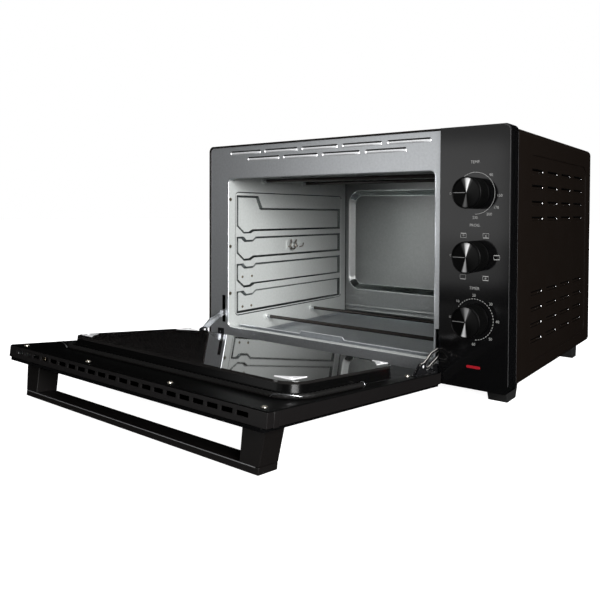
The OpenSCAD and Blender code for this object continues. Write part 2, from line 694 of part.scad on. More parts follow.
post = [27, 28];                    // width at the bar and depth of a handle post
post_flare = 6;                     // how much wider a post is at the door
handle_x = [24.3, 478];
handle_s = 297;
handle_t = [door_t, 68.6];
bar_t = 7.5;

// One post, its outer side at X = 0 and its foot on the door
module handle_post() {
    end = handle_t[1] - bar_t - 0.02;
    translate([0, handle_s + post[1], 0]) rotate([90, 0, 0]) linear_extrude(post[1])
        polygon([[-post_flare, handle_t[0]], [post[0], handle_t[0]], [post[0], end], [0, end]]);
}

module handle_posts() color("#161616") on_door() {
    translate([handle_x[0], 0, 0]) handle_post();
    translate([handle_x[1], 0, 0]) mirror([1, 0, 0]) handle_post();
}

module handle_bar() color("#161616") on_door()
    box(handle_x[0], handle_s, handle_t[1] - bar_t, handle_x[1], handle_s + post[1], handle_t[1]);

module handle_screws() color("#8f8f8f") on_door()
    for (x = [handle_x[0] + post[0] / 2, handle_x[1] - post[0] / 2]) translate([x, handle_s + post[1] / 2, 0])
        translate([0, 0, rail_t1 - 3]) cylinder(r = 4, h = 3);

outer_wrap();
rear_cover();
bottom_plate();
front_frame();
cavity_left_wall();
cavity_right_wall();
cavity_roof();
cavity_floor();
cavity_back();
crumb_tray();
upper_heaters();
lower_heaters();
heater_bushes();
spit_support();
spit_socket();
spit_motor();
motor_bracket();
sensor_bulb();
control_fascia();
thermostat();
mode_switch();
timer_unit();
terminal_block();
lamp_lens();
lamp_holder();
temperature_knob();
mode_knob();
timer_knob();
temperature_cap();
mode_cap();
timer_cap();
temperature_spindle();
mode_spindle();
timer_spindle();
feet();
rear_spacers();
cord_gland();
case_screws();
flange_screws();
hinge_tongues();
spring_posts();
check_springs();
check_arm_left();
check_arm_right();
outer_glass();
inner_pan();
inner_glass();
glass_clips();
door_gasket();
door_top_rail();
door_bottom_rail();
door_side_rails();
pan_screws();
handle_posts();
handle_bar();
handle_screws();
hinge_knuckles();
hinge_pins();
arm_brackets();
arm_pins();
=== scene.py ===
"""Looks of the rotisserie oven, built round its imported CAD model.

Pieces are drawn in millimetres in one of two spaces. OVEN has X from the left side of the body, Y back
from the front frame and Z up from the underside of the body. DOOR lies on the open door: X across, S
along it from the hinge edge, and T from its inner face to its outer one.
"""

import math

import bmesh
import bpy
import numpy as np
from mathutils import Matrix, Vector


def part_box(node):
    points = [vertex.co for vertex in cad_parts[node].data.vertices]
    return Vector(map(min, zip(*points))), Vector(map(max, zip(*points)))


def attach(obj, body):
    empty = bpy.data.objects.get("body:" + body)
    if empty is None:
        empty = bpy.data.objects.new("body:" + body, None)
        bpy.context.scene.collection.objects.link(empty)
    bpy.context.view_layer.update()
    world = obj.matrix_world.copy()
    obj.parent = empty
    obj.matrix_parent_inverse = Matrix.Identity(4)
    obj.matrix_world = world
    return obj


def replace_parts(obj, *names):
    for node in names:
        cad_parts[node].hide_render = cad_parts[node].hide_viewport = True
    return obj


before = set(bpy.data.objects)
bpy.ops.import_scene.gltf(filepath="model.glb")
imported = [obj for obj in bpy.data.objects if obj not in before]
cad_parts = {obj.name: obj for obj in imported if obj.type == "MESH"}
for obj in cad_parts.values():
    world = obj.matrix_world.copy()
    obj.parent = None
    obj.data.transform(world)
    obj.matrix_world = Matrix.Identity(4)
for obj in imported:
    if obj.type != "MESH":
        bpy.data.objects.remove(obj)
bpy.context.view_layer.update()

MM = 0.001
scene = bpy.context.scene


# --- the two spaces ---
def corner(node, which):
    """A node's lowest (0) or highest (1) corner, in metres."""
    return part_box(node)[which]


ORIGIN = Vector((corner("outer_wrap", 0).x, corner("front_frame", 0).y, corner("outer_wrap", 0).z))
OVEN = Matrix.Translation(ORIGIN) @ Matrix.Scale(MM, 4)
# The inner face's hinge edge, and how far above level the open door stays.
DOOR_EDGE = Vector((0, -14.26, 17.83))
DOOR_RISE = math.radians(6.35)
DOOR = OVEN @ Matrix.Translation(DOOR_EDGE) @ Matrix.Rotation(math.pi - DOOR_RISE, 4, "X")


def in_oven(node, which):
    """A node's corner in OVEN millimetres."""
    return OVEN.inverted() @ corner(node, which)


def centre(node):
    """The middle of a node in OVEN millimetres."""
    return (in_oven(node, 0) + in_oven(node, 1)) / 2


BODY_W = in_oven("outer_wrap", 1).x
BODY_H = in_oven("outer_wrap", 1).z
# The mouth of the cavity.
LEFT = 50.5
RIGHT = 484.0
SILL = 31.0
HEAD = 306.0

# Turns that stand what is drawn along Z on a face: out of the front, and out of a left or right wall.
Y_OUT = Matrix.Rotation(math.radians(90), 4, "X")
X_IN = Matrix.Rotation(math.radians(90), 4, "Y")
X_OUT = Matrix.Rotation(math.radians(-90), 4, "Y")
FLIP = Matrix.Rotation(math.pi, 4, "X")


# --- materials ---
def material(name, colour, rough, metal=0.0, spread=0.1, grain=400.0, bump=0.05, bump_scale=900.0,
             rough_spread=0.08, stretch=(1, 1, 1), **sockets):
    """A procedural finish: colour and roughness vary with noise, and a finer noise gives its bump."""
    m = bpy.data.materials.new(name)
    m.use_nodes = True
    nodes, links = m.node_tree.nodes, m.node_tree.links
    shader = nodes["Principled BSDF"]
    shader.inputs["Metallic"].default_value = metal
    for socket, value in sockets.items():
        shader.inputs[socket.replace("_", " ")].default_value = value
    place = nodes.new("ShaderNodeTexCoord")
    scale = nodes.new("ShaderNodeMapping")
    scale.inputs["Scale"].default_value = stretch
    links.new(place.outputs["Object"], scale.inputs["Vector"])
    noise = nodes.new("ShaderNodeTexNoise")
    noise.inputs["Scale"].default_value = grain
    noise.inputs["Detail"].default_value = 4
    links.new(scale.outputs["Vector"], noise.inputs["Vector"])
    ramp = nodes.new("ShaderNodeValToRGB")
    ramp.color_ramp.elements[0].position = 0.3
    ramp.color_ramp.elements[1].position = 0.7
    ramp.color_ramp.elements[0].color = (*[c * (1 - spread) for c in colour], 1)
    ramp.color_ramp.elements[1].color = (*[min(1, c * (1 + spread)) for c in colour], 1)
    links.new(noise.outputs["Fac"], ramp.inputs["Fac"])
    links.new(ramp.outputs["Color"], shader.inputs["Base Color"])
    broad = nodes.new("ShaderNodeTexNoise")
    broad.inputs["Scale"].default_value = grain / 12
    links.new(scale.outputs["Vector"], broad.inputs["Vector"])
    rough_map = nodes.new("ShaderNodeMapRange")
    rough_map.inputs["To Min"].default_value = max(0.0, rough * (1 - rough_spread))
    rough_map.inputs["To Max"].default_value = min(1.0, rough * (1 + rough_spread))
    links.new(broad.outputs["Fac"], rough_map.inputs["Value"])
    links.new(rough_map.outputs["Result"], shader.inputs["Roughness"])
    if bump:
        fine = nodes.new("ShaderNodeTexNoise")
        fine.inputs["Scale"].default_value = bump_scale
        links.new(scale.outputs["Vector"], fine.inputs["Vector"])
        relief_node = nodes.new("ShaderNodeBump")
        relief_node.inputs["Strength"].default_value = bump
        relief_node.inputs["Distance"].default_value = 0.0002
        links.new(fine.outputs["Fac"], relief_node.inputs["Height"])
        links.new(relief_node.outputs["Normal"], shader.inputs["Normal"])
    return m


def enamel(name, colour, rough, gloss, bump=0.0, bump_scale=1200, rough_spread=0.08):
    """A black coat. gloss is its specular level."""
    return material(name, colour, rough, bump=bump, bump_scale=bump_scale, rough_spread=rough_spread,
                    Specular_IOR_Level=gloss)


def zinc_sheet(name, colour, rough, metal, bump=0.05):
    """The galvanised sheet of the cavity and the front, with a fine even grain."""
    return material("galvanised_" + name, colour, rough, metal, spread=0.05, grain=240, bump=bump)


LOOKS = {
    "wrap": enamel("wrap_enamel", (0.0030, 0.0017, 0.0010), 0.45, 0.22, bump=0.15, bump_scale=1400),
    "pan": enamel("pan_enamel", (0.0010, 0.0010, 0.0010), 0.34, 0.26, bump=0.08),
    "rail": enamel("rail_enamel", (0.0032, 0.0027, 0.0027), 0.36, 0.5, bump=0.08),
    "plug": enamel("window_enamel", (0.0012, 0.0012, 0.0012), 0.20, 0.75),
    "plug_side": enamel("window_side_enamel", (0.0012, 0.0012, 0.0012), 0.20, 0.12),
    # Near black and dull: painted shade for the side louvres' hoods and lips.
    "shade": enamel("painted_shade_enamel", (0.0006, 0.0005, 0.0005), 0.8, 0.02),
    # A mid grey drawn along edges as painted highlight lines.
    "edge": material("painted_edge_highlight_coat", (0.085, 0.085, 0.087), 0.3, bump=0.0),
    "zinc": material("galvanised", (0.62, 0.64, 0.66), 0.35, 0.94, spread=0.06, grain=260, bump=0.12,
                     bump_scale=700),
    "zinc_dark": material("galvanised_floor", (0.35, 0.37, 0.39), 0.30, 0.72, spread=0.08, grain=180,
                          bump=0.08),
    "zinc_wall": zinc_sheet("wall", (0.51, 0.53, 0.518), 0.42, 0.45, bump=0.08),
    # A smoother, fully metallic zinc, also painted darker as shade; it takes the pressed slopes.
    "zinc_fold_painted_shade": zinc_sheet("fold_painted_shade", (0.42, 0.45, 0.44), 0.22, 1.0),
    # A lighter, less metallic copy of the front zinc: painted highlight on the front hoods, the sill rod and
    # the tray's hem.
    "zinc_lip": zinc_sheet("lip", (0.68, 0.69, 0.70), 0.32, 0.62),
    # A lighter zinc: painted highlight on the back's upright slopes.
    "zinc_flank_painted_highlight": zinc_sheet("flank_painted_highlight", (0.48, 0.49, 0.485), 0.34, 0.7),
    # A lighter zinc: painted highlight on the upright flanks of the side walls.
    "zinc_crest_painted_highlight": zinc_sheet("crest_painted_highlight", (0.70, 0.71, 0.70), 0.3, 0.5),
    # The back and roof: partly a more metallic finish, partly the cavity zinc painted darker as shade.
    "zinc_back": zinc_sheet("back", (0.265, 0.27, 0.27), 0.34, 0.92, bump=0.08),
    "steel": material("folded_steel", (0.42, 0.43, 0.44), 0.35, 1.0, stretch=(1, 8, 8)),
    "arm": material("arm_steel", (0.62, 0.63, 0.65), 0.26, 0.95, spread=0.12, stretch=(1, 1, 6)),
    # The arm steel painted nearly black as shade, and a lighter steel for its rounded edges as painted
    # highlight.
    "arm_painted_shade": material("arm_painted_shade_steel", (0.022, 0.022, 0.024), 0.3, 0.8, spread=0.1, bump=0.0),
    "arm_painted_edge_highlight": material("arm_painted_highlight_steel", (0.56, 0.54, 0.51), 0.3, 0.5, spread=0.05, bump=0.0),
    # Whitish and nearly diffuse: painted glints on the domes at the louvres' ends.
    "zinc_spot": material("galvanised_painted_glint", (0.80, 0.80, 0.81), 0.35, 0.1, spread=0.04, bump=0.0),
    "chrome": material("chrome", (0.74, 0.74, 0.75), 0.16, 0.35, spread=0.03, bump=0.02),
    "sheath": material("heater_sheath", (0.022, 0.018, 0.016), 0.42, 0.5, spread=0.3, grain=500),
    "cast": material("support_steel", (0.20, 0.18, 0.16), 0.35, 0.9, spread=0.3, grain=300, bump=0.2),
    "bulb": material("sensor_copper", (0.45, 0.26, 0.14), 0.35, 1.0, spread=0.15),
    "fascia": enamel("fascia_gloss", (0.0014, 0.0014, 0.0015), 0.11, 0.45, rough_spread=0.15),
    "print": material("print_white", (0.17, 0.17, 0.166), 0.5, spread=0.05, bump=0.0),
    "lamp": material("lens_red", (0.16, 0.004, 0.008), 0.22, spread=0.2, grain=900, Coat_Weight=0.6),
    "phenolic": material("moulded_cream", (0.55, 0.52, 0.45), 0.55),
    "knob": enamel("knob_black", (0.0008, 0.0008, 0.0008), 0.5, 0.06, bump=0.05, bump_scale=900),
    "trim": material("knob_trim", (0.16, 0.16, 0.16), 0.25, 1.0, bump=0.0),
    "pointer": material("knob_pointer", (0.20, 0.20, 0.20), 0.4, 0.6, bump=0.0),
    "rubber": material("foot_black", (0.005, 0.005, 0.005), 0.5, bump=0.3, bump_scale=900),
    "screw": material("screw_nickel", (0.62, 0.58, 0.50), 0.28, 0.95, spread=0.2),
    "screw_dull": material("screw_dull", (0.20, 0.165, 0.12), 0.40, 0.95, spread=0.2),
    "glass": material("door_glass", (0.0014, 0.0014, 0.0015), 0.04, spread=0.2, grain=30, bump=0.0),
    "window": material("window_glass", (0.0075, 0.0070, 0.0068), 0.03, spread=0.2, grain=30, bump=0.0,
                       IOR=1.9),
    "gasket": material("glass_fibre", (0.0022, 0.0020, 0.0018), 0.6, spread=0.35, grain=900, bump=0.5,
                       bump_scale=1500, Specular_IOR_Level=0.25),
    "handle": enamel("handle_black", (0.0028, 0.0023, 0.0021), 0.36, 0.4, bump=0.12, bump_scale=1300),
    "floor": material("studio_floor", (0.42, 0.42, 0.42), 0.8, spread=0.01, grain=3, bump=0.0,
                      Emission_Color=(1, 1, 1, 1), Emission_Strength=0.95),
}


def spun_metal_painted_shine(name, upper, lower):
    """Black turned metal. Two wedges of painted highlight run out from its middle, one upwards and one
    downwards, drawn into its colour by angle round the disc.
    """
    m = material(name, (0.002, 0.002, 0.002), 0.30, 0.7, spread=0.2, grain=900, bump=0.0,
                 Specular_IOR_Level=0.08)
    nodes, links = m.node_tree.nodes, m.node_tree.links
    shader = nodes["Principled BSDF"]
    ground = shader.inputs["Base Color"].links[0].from_socket
    coords = nodes.new("ShaderNodeTexCoord")
    axes = nodes.new("ShaderNodeSeparateXYZ")
    links.new(coords.outputs["Generated"], axes.inputs["Vector"])

    def maths(operation, a, b):
        node = nodes.new("ShaderNodeMath")
        node.operation = operation
        for socket, value in zip(node.inputs, (a, b)):
            if isinstance(value, float):
                socket.default_value = value
            else:
                links.new(value, socket)
        return node.outputs["Value"]

    across = maths("SUBTRACT", axes.outputs["X"], 0.5)
    above = maths("SUBTRACT", axes.outputs["Z"], 0.5)
    angle = maths("DIVIDE", maths("ARCTAN2", above, across), 2 * math.pi)
    ramp = nodes.new("ShaderNodeValToRGB")
    links.new(maths("ADD", angle, 0.5), ramp.inputs["Fac"])
    # The ramp paints the two highlight wedges into the colour.
    below = [(0.0, 0), (0.20, 0), (0.222, lower), (0.25, lower * 0.8), (0.272, 0), (0.30, 0)]
    over = [(0.66, 0.01), (0.695, 0.06), (0.705, upper), (0.745, upper * 0.75), (0.775, 0.05), (0.82, 0),
            (1.0, 0)]
    stops = below + over
    while len(ramp.color_ramp.elements) < len(stops):
        ramp.color_ramp.elements.new(0.5)
    for element, (place, value) in zip(ramp.color_ramp.elements, stops):
        element.position = place
        element.color = (value, value, value, 1)
    mix = nodes.new("ShaderNodeMixRGB")
    mix.blend_type = "ADD"
    mix.inputs["Fac"].default_value = 1.0
    links.new(ground, mix.inputs["Color1"])
    links.new(ramp.outputs["Color"], mix.inputs["Color2"])
    links.new(mix.outputs["Color"], shader.inputs["Base Color"])
    return m


# How bright each knob cap's painted highlight wedges are, upper and lower.
CAP_PAINTED_SHINE = {"temperature": (0.80, 0.08), "mode": (0.75, 0.30), "timer": (0.30, 0.60)}
for knob, painted_shine in CAP_PAINTED_SHINE.items():
    LOOKS[knob + "_spun"] = spun_metal_painted_shine(knob + "_spun", *painted_shine)


def dress(obj, look):
    """Gives an object one of the finishes on every slot."""
    if not obj.data.materials:
        obj.data.materials.append(LOOKS[look])
    for i in range(len(obj.material_slots)):
        obj.material_slots[i].link = "OBJECT"
        obj.material_slots[i].material = LOOKS[look]


# --- mesh helpers ---
def piece(name, points, faces, space, body, look, slot, sharp=35.0):
    """A mesh object from points in millimetres, riding on a CAD body."""
    mesh = bpy.data.meshes.new(name)
    moved = np.asarray(points, float) @ np.array(space.to_3x3()).T + np.array(space.translation)
    mesh.from_pydata(moved.tolist(), [], faces)
    mesh.validate()
    bm = bmesh.new()
    bm.from_mesh(mesh)
    bmesh.ops.remove_doubles(bm, verts=bm.verts, dist=1e-6)
    bmesh.ops.recalc_face_normals(bm, faces=bm.faces)
    bm.to_mesh(mesh)
    bm.free()
    mesh.shade_smooth()
    mesh.set_sharp_from_angle(angle=math.radians(sharp))
    obj = bpy.data.objects.new(name, mesh)
    scene.collection.objects.link(obj)
    dress(obj, look)
    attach(obj, body)
    return obj


def ring(x0, y0, x1, y1, r, steps=8):
    """Points round a rounded rectangle, anticlockwise from its lower right corner."""
    points = []
    centres = ((x1 - r, y0 + r), (x1 - r, y1 - r), (x0 + r, y1 - r), (x0 + r, y0 + r))
    for (cx, cy), start in zip(centres, (-90, 0, 90, 180)):
        for i in range(steps + 1):
            a = math.radians(start + 90 * i / steps)
            points.append((cx + r * math.cos(a), cy + r * math.sin(a)))
    return points


def loft(rings, closed=True, caps=(False, False)):
    """Points and faces of a skin through rings that have the same number of points."""
    n = len(rings[0])
    points = [p for r in rings for p in r]
    faces = []
    for i in range(len(rings) - 1):
        for j in range(n if closed else n - 1):
            k = (j + 1) % n
            faces.append((i * n + j, i * n + k, (i + 1) * n + k, (i + 1) * n + j))
    if caps[0]:
        faces.append(tuple(range(n))[::-1])
    if caps[1]:
        faces.append(tuple(range((len(rings) - 1) * n, len(rings) * n)))
    return points, faces


def join_parts(parts):
    """One list of points and faces from several."""
    points, faces = [], []
    for p, f in parts:
        base = len(points)
        points.extend(p)
        faces.extend(tuple(base + i for i in face) for face in f)
    return points, faces


def shift(x, y, z):
    """A move along the axes."""
    return Matrix.Translation((x, y, z))


def moved(part, matrix):
    """A part's points moved by a matrix."""
    points, faces = part
    return [tuple(matrix @ Vector(p)) for p in points], faces


def tube(path, radius, sides=12, closed=False):
    """A round tube along a path. radius is a number, or a function of (distance along, angle round)."""
    path = [Vector(p) for p in path]
    n = len(path)
    normal = None
    along = 0.0
    rings = []
    for i, p in enumerate(path):
        before = path[i - 1] if i or closed else p
        after = path[(i + 1) % n] if i < n - 1 or closed else p
        tangent = (after - before).normalized()
        if normal is None:
            normal = tangent.orthogonal().normalized()
        normal = (normal - tangent * normal.dot(tangent)).normalized()
        side = tangent.cross(normal)
        if i:
            along += (p - path[i - 1]).length
        loop = []
        for j in range(sides):
            a = 2 * math.pi * j / sides
            r = radius(along, a) if callable(radius) else radius
            loop.append(tuple(p + (normal * math.cos(a) + side * math.sin(a)) * r))
        rings.append(loop)
    if closed:
        rings.append(rings[0])
    return loft(rings, caps=(not closed, not closed))


def turned(profile, steps=48):
    """A solid of revolution about Z from (radius, height) pairs; a radius of 0 closes an end."""
    rings = []
    for r, z in profile:
        rings.append([(r * math.cos(2 * math.pi * j / steps), r * math.sin(2 * math.pi * j / steps), z)
                      for j in range(steps)])
    return loft(rings)


def block(low, high):
    """The six faces of a box."""
    (x0, y0, z0), (x1, y1, z1) = low, high
    points = [(x, y, z) for x in (x0, x1) for y in (y0, y1) for z in (z0, z1)]
    faces = [(0, 1, 3, 2), (4, 6, 7, 5), (0, 4, 5, 1), (2, 3, 7, 6), (0, 2, 6, 4), (1, 5, 7, 3)]
    return points, faces


def relief(us, vs, to_point):
    """A grid of points over us and vs. to_point turns the two grids into x, y and z grids."""
    u, v = np.meshgrid(us, vs, indexing="ij")
    x, y, z = to_point(u, v)
    x, y, z = (np.broadcast_to(a, u.shape) for a in (x, y, z))
    points = np.stack([x, y, z], axis=-1).reshape(-1, 3)
    cols = len(vs)
    i, j = np.meshgrid(np.arange(len(us) - 1), np.arange(cols - 1), indexing="ij")
    a = (i * cols + j).ravel()
    faces = np.stack([a, a + cols, a + cols + 1, a + 1], axis=-1)
    return points.tolist(), [tuple(f) for f in faces.tolist()]


def from_box(u, v, box, r):
    """Signed distance to a rounded rectangle (u0, v0, u1, v1), negative inside."""
    u0, v0, u1, v1 = box
    qu = np.abs(u - (u0 + u1) / 2) - (u1 - u0) / 2 + r
    qv = np.abs(v - (v0 + v1) / 2) - (v1 - v0) / 2 + r
    return np.hypot(np.maximum(qu, 0), np.maximum(qv, 0)) + np.minimum(np.maximum(qu, qv), 0) - r


def from_polygon(u, v, corners):
    """Signed distance to a polygon, negative inside."""
    best = np.full(u.shape, 1e9)
    inside = np.zeros(u.shape, bool)
    for (au, av), (bu, bv) in zip(corners, corners[1:] + corners[:1]):
        eu, ev = bu - au, bv - av
        t = np.clip(((u - au) * eu + (v - av) * ev) / (eu * eu + ev * ev), 0, 1)
        best = np.minimum(best, np.hypot(u - au - eu * t, v - av - ev * t))
        spans = (av > v) != (bv > v)
        cut = au + eu * (v - av) / (ev if ev else 1e-9)
        inside ^= spans & (u < cut)
    return np.where(inside, -best, best)


def pressed(distance, slope):
    """0 outside and 1 inside an outline, with a flank of width slope within it, eased at both ends."""
    t = np.clip(-distance / slope, 0, 1)
    ease = 0.22
    foot = t * t / (2 * ease * (1 - ease))
    straight = (t - ease / 2) / (1 - ease)
    crown = 1 - (1 - t) ** 2 / (2 * ease * (1 - ease))
    return np.where(t < ease, foot, np.where(t > 1 - ease, crown, straight))


def thicken(obj, thickness):
    """Gives a sheet its thickness, in millimetres, behind its drawn face."""
    sheet = obj.modifiers.new("sheet", "SOLIDIFY")
    sheet.thickness = thickness * MM
    sheet.offset = -1


def add_slot(obj, look):
    """Adds a slot with a finish of its own and returns its number."""
    slot = len(obj.material_slots)
    obj.data.materials.append(LOOKS[look])
    obj.material_slots[slot].link = "OBJECT"
    obj.material_slots[slot].material = LOOKS[look]
    return slot


def patch(obj, look, chosen):
    """Gives the faces that chosen picks out another finish, in a slot of its own."""
    slot = add_slot(obj, look)
    for polygon in obj.data.polygons:
        if chosen(polygon):
            polygon.material_index = slot


def soften(obj, width, painted_shine=None):
    """Rounds an object's hard edges, in millimetres. The roundings may have a finish of their own, a lighter
    one that paints a highlight on them.
    """
    weld = obj.modifiers.new("weld", "WELD")
    weld.merge_threshold = 1e-6
    bevel = obj.modifiers.new("bevel", "BEVEL")
    bevel.width = width * MM
    bevel.segments = 2
    bevel.limit_method = "ANGLE"
    bevel.angle_limit = math.radians(40)
    bevel.use_clamp_overlap = True
    if painted_shine:
        bevel.material = add_slot(obj, painted_shine)
    weighted = obj.modifiers.new("weighted", "WEIGHTED_NORMAL")
    weighted.keep_sharp = True


# --- camera, lights and floor ---
def add_camera():
    """The camera stands in front of the oven's right side, turned left and almost level."""
    yaw, pitch, roll = 0.5884, 0.0193, 0.0070
    data = bpy.data.cameras.new("camera")
    data.sensor_width = 36
    data.lens = 35.823
    data.shift_x = -0.137267
    data.shift_y = -0.126833
    data.clip_start = 0.01
    flat = math.cos(pitch)
    forward = Vector((-math.sin(yaw) * flat, math.cos(yaw) * flat, -math.sin(pitch)))
    level = Vector((math.cos(yaw), math.sin(yaw), 0))
    upright = level.cross(forward)
    right = level * math.cos(roll) + upright * math.sin(roll)
    up = upright * math.cos(roll) - level * math.sin(roll)
    camera = bpy.data.objects.new("camera", data)
    camera.matrix_world = Matrix((right, up, -forward)).transposed().to_4x4()
    camera.location = OVEN @ Vector((900.45, -760.96, 245.24))
    scene.collection.objects.link(camera)
    scene.camera = camera


def softbox(name, at, aim, size, power):
    """An area light at a point, facing another, both in OVEN millimetres."""
    data = bpy.data.lights.new(name, "AREA")
    data.shape = "RECTANGLE"
    data.size, data.size_y = size[0] * MM, size[1] * MM
    data.energy = power
    light = bpy.data.objects.new(name, data)
    start, end = OVEN @ Vector(at), OVEN @ Vector(aim)
    light.location = start
    light.rotation_euler = (end - start).to_track_quat("-Z", "Y").to_euler()
    scene.collection.objects.link(light)


def add_studio():
    """A pale floor, a pale surround and soft lights. The blacks mirror only the soft lights."""
    world = bpy.data.worlds.new("studio")
    world.use_nodes = True
    background = world.node_tree.nodes["Background"]
    background.inputs["Color"].default_value = (1, 1, 1, 1)
    background.inputs["Strength"].default_value = 1.0
    scene.world = world
    world.cycles_visibility.glossy = False
    bpy.ops.mesh.primitive_plane_add(size=30, location=(0, 0, 0))
    floor = bpy.context.object
    floor.name = "studio_floor"
    floor.data.materials.append(LOOKS["floor"])
    floor.visible_glossy = False
    floor.visible_diffuse = False
    softbox("front_left", (-1100, -2700, 240), (300, 0, 200), (1150, 950), 3.2)
    softbox("front_wide", (-700, -3300, 780), (300, 0, 200), (3000, 1500), 7.5)
    softbox("right", (2200, -1000, 800), (60, 120, 130), (1100, 1000), 120)
    softbox("overhead", (300, 100, 2000), (300, 100, 0), (1200, 1200), 5)
    scene.view_settings.view_transform = "Standard"


add_camera()
add_studio()


# --- finishes of the CAD nodes ---
# Each node's finish, and how far its hard edges are rounded.
NODE_LOOKS = {
    "outer_wrap": ("wrap", 0.5), "rear_cover": ("wrap", 0.3), "bottom_plate": ("steel", 0),
    "front_frame": ("zinc", 0.25), "cavity_roof": ("zinc_back", 0), "cavity_floor": ("zinc_dark", 0),
    "upper_heaters": ("sheath", 0.4), "lower_heaters": ("sheath", 0.4),
    "heater_bushes": ("zinc_wall", 0.4), "spit_socket": ("cast", 0.6), "spit_motor": ("steel", 1.0),
    "motor_bracket": ("steel", 0.3), "sensor_bulb": ("bulb", 0.5), "control_fascia": ("fascia", 0.7),
    "thermostat": ("phenolic", 1.0), "mode_switch": ("phenolic", 1.0), "timer_unit": ("steel", 1.0),
    "terminal_block": ("phenolic", 1.0), "lamp_lens": ("lamp", 0.5), "lamp_holder": ("phenolic", 0.5),
    "feet": ("rubber", 0.8), "rear_spacers": ("rubber", 1.0), "cord_gland": ("rubber", 0.6),
    # The right check arm and the hinge parts wear the arm steel painted dark as shade.
    "hinge_tongues": ("arm_painted_shade", 0.3), "spring_posts": ("sheath", 0.2), "check_springs": ("sheath", 0),
    "check_arm_left": ("arm", 0.4), "check_arm_right": ("arm_painted_shade", 0.5), "outer_glass": ("glass", 0.6),
    "inner_glass": ("window", 0.3), "door_top_rail": ("rail", 0.4), "door_bottom_rail": ("steel", 0.3),
    "door_side_rails": ("steel", 0.3), "handle_posts": ("handle", 0.7), "handle_bar": ("handle", 0.9),
    "handle_screws": ("screw_dull", 0.4), "hinge_knuckles": ("arm_painted_shade", 0.3),
    "hinge_pins": ("chrome", 0.3), "arm_brackets": ("arm_painted_shade", 0.3), "arm_pins": ("chrome", 0.3),
    "inner_pan": ("pan", 0.8), "glass_clips": ("chrome", 0.3), "door_gasket": ("gasket", 0),
    "cavity_left_wall": ("zinc_wall", 0), "cavity_right_wall": ("zinc_wall", 0),
    "cavity_back": ("zinc_back", 0), "crumb_tray": ("zinc_dark", 0), "spit_support": ("cast", 0.4),
    "case_screws": ("screw_dull", 0.4), "flange_screws": ("screw", 0.4), "pan_screws": ("screw", 0.4),
}
for name in CAP_PAINTED_SHINE:
    NODE_LOOKS[name + "_spindle"] = ("steel", 0.3)
    NODE_LOOKS[name + "_knob"] = ("knob", 0)
    NODE_LOOKS[name + "_cap"] = ("knob", 0)
# The roundings of these nodes get the lighter steel as painted highlight.
PAINTED_HIGHLIGHT_EDGED = ("check_arm_right", "arm_brackets", "hinge_knuckles")
for node, (look, width) in NODE_LOOKS.items():
    dress(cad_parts[node], look)
    if width:
        soften(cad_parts[node], width, "arm_painted_edge_highlight" if node in PAINTED_HIGHLIGHT_EDGED else None)


# --- embossed cavity ---
FLANGE = 12.3
CAVITY_D = in_oven("cavity_back", 0).y
CAVITY_FLOOR = in_oven("cavity_floor", 0).z
CAVITY_ROOF = in_oven("cavity_roof", 1).z
# A side wall's pressed field (Y, Z, Y, Z), its four pockets, and the rack rails left between them.
FIELD = (16.5, 48.6, 341, 282)
FIELD_R = 8
FIELD_DEPTH = 1.0
POCKET = (21, 337)
POCKET_DEPTH = 4.0
POCKET_GROW = 0.6
POCKET_SLOPE = 4.2
RAIL_TOPS = (207.5, 156, 104.5)
RAIL_H = 11.5
FLANK = 0.5
SEAM = 1.1


def rail_upper(z):
    """Upper edge of a rack rail from front to back: a stop, a dip that holds the rack, then level."""
    return [(POCKET[0], z + 10.5), (39, z - 4.5), (57, z - 4.5), (66, z), (POCKET[1], z)]


def rail_lower(z):
    """Lower edge of a rack rail from back to front."""
    return [(POCKET[1], z), (70, z), (62, z - 6), (46, z - 6), (38, z + 1), (POCKET[0], z + 1)]


def pockets():
    """Outlines of the four pockets in a side wall, as (Y, Z) corners, from the top one down."""
    top = [(POCKET[1], 252), (88, 252), (77, 275), (POCKET[0], 275)]
    bottom = [(POCKET[0], 52.5), (POCKET[1], 52.5)]
    lows = [rail_upper(z) for z in RAIL_TOPS] + [bottom]
    highs = [top] + [rail_lower(z - RAIL_H) for z in RAIL_TOPS]
    return [low + high for low, high in zip(lows, highs)]


def side_depth(y, z):
    """How far a side wall is pressed away from the cavity. The flanks are wider along Y than along Z."""
    depth = FIELD_DEPTH * pressed(from_box(y, z, FIELD, FIELD_R), 2 * FIELD_DEPTH)
    for outline in pockets():
        squeezed = [(corner_y * FLANK, corner_z) for corner_y, corner_z in outline]
        distance = from_polygon(y * FLANK, z, squeezed) - POCKET_GROW
        depth = depth + (POCKET_DEPTH - FIELD_DEPTH) * pressed(distance, POCKET_SLOPE)
    return depth


def cavity_side(name, x, outward):
    """A side wall's pressed sheet. outward is its direction away from the cavity along X."""
    shaped_to, level_to = 95, 325
    ys = np.concatenate([np.arange(FLANGE, shaped_to, 1.0), np.arange(shaped_to, level_to, 4.0),
                         np.arange(level_to, CAVITY_D - SEAM, 1.2)])
    zs = np.linspace(CAVITY_FLOOR, CAVITY_ROOF, 320)
    part = relief(ys, zs, lambda y, z: (x + outward * side_depth(y, z), y, z))
    obj = piece(name + "_sheet", *part, OVEN, "oven", "zinc_wall", "galvanised_steel", sharp=60)
    # Slopes facing up or down take the smoother zinc painted darker as shade; upright flanks take the lighter
    # zinc as painted highlight.
    patch(obj, "zinc_fold_painted_shade", lambda face: abs(face.normal.x) < 0.965)
    patch(obj, "zinc_crest_painted_highlight", lambda face: abs(face.normal.x) < 0.86 and abs(face.normal.z) < 0.3)
    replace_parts(obj, name)


cavity_side("cavity_left_wall", LEFT, -1)
cavity_side("cavity_right_wall", RIGHT, 1)


BACK_PANEL = (58, 66, 476, 296)
BACK_BEADS = (18, 28)


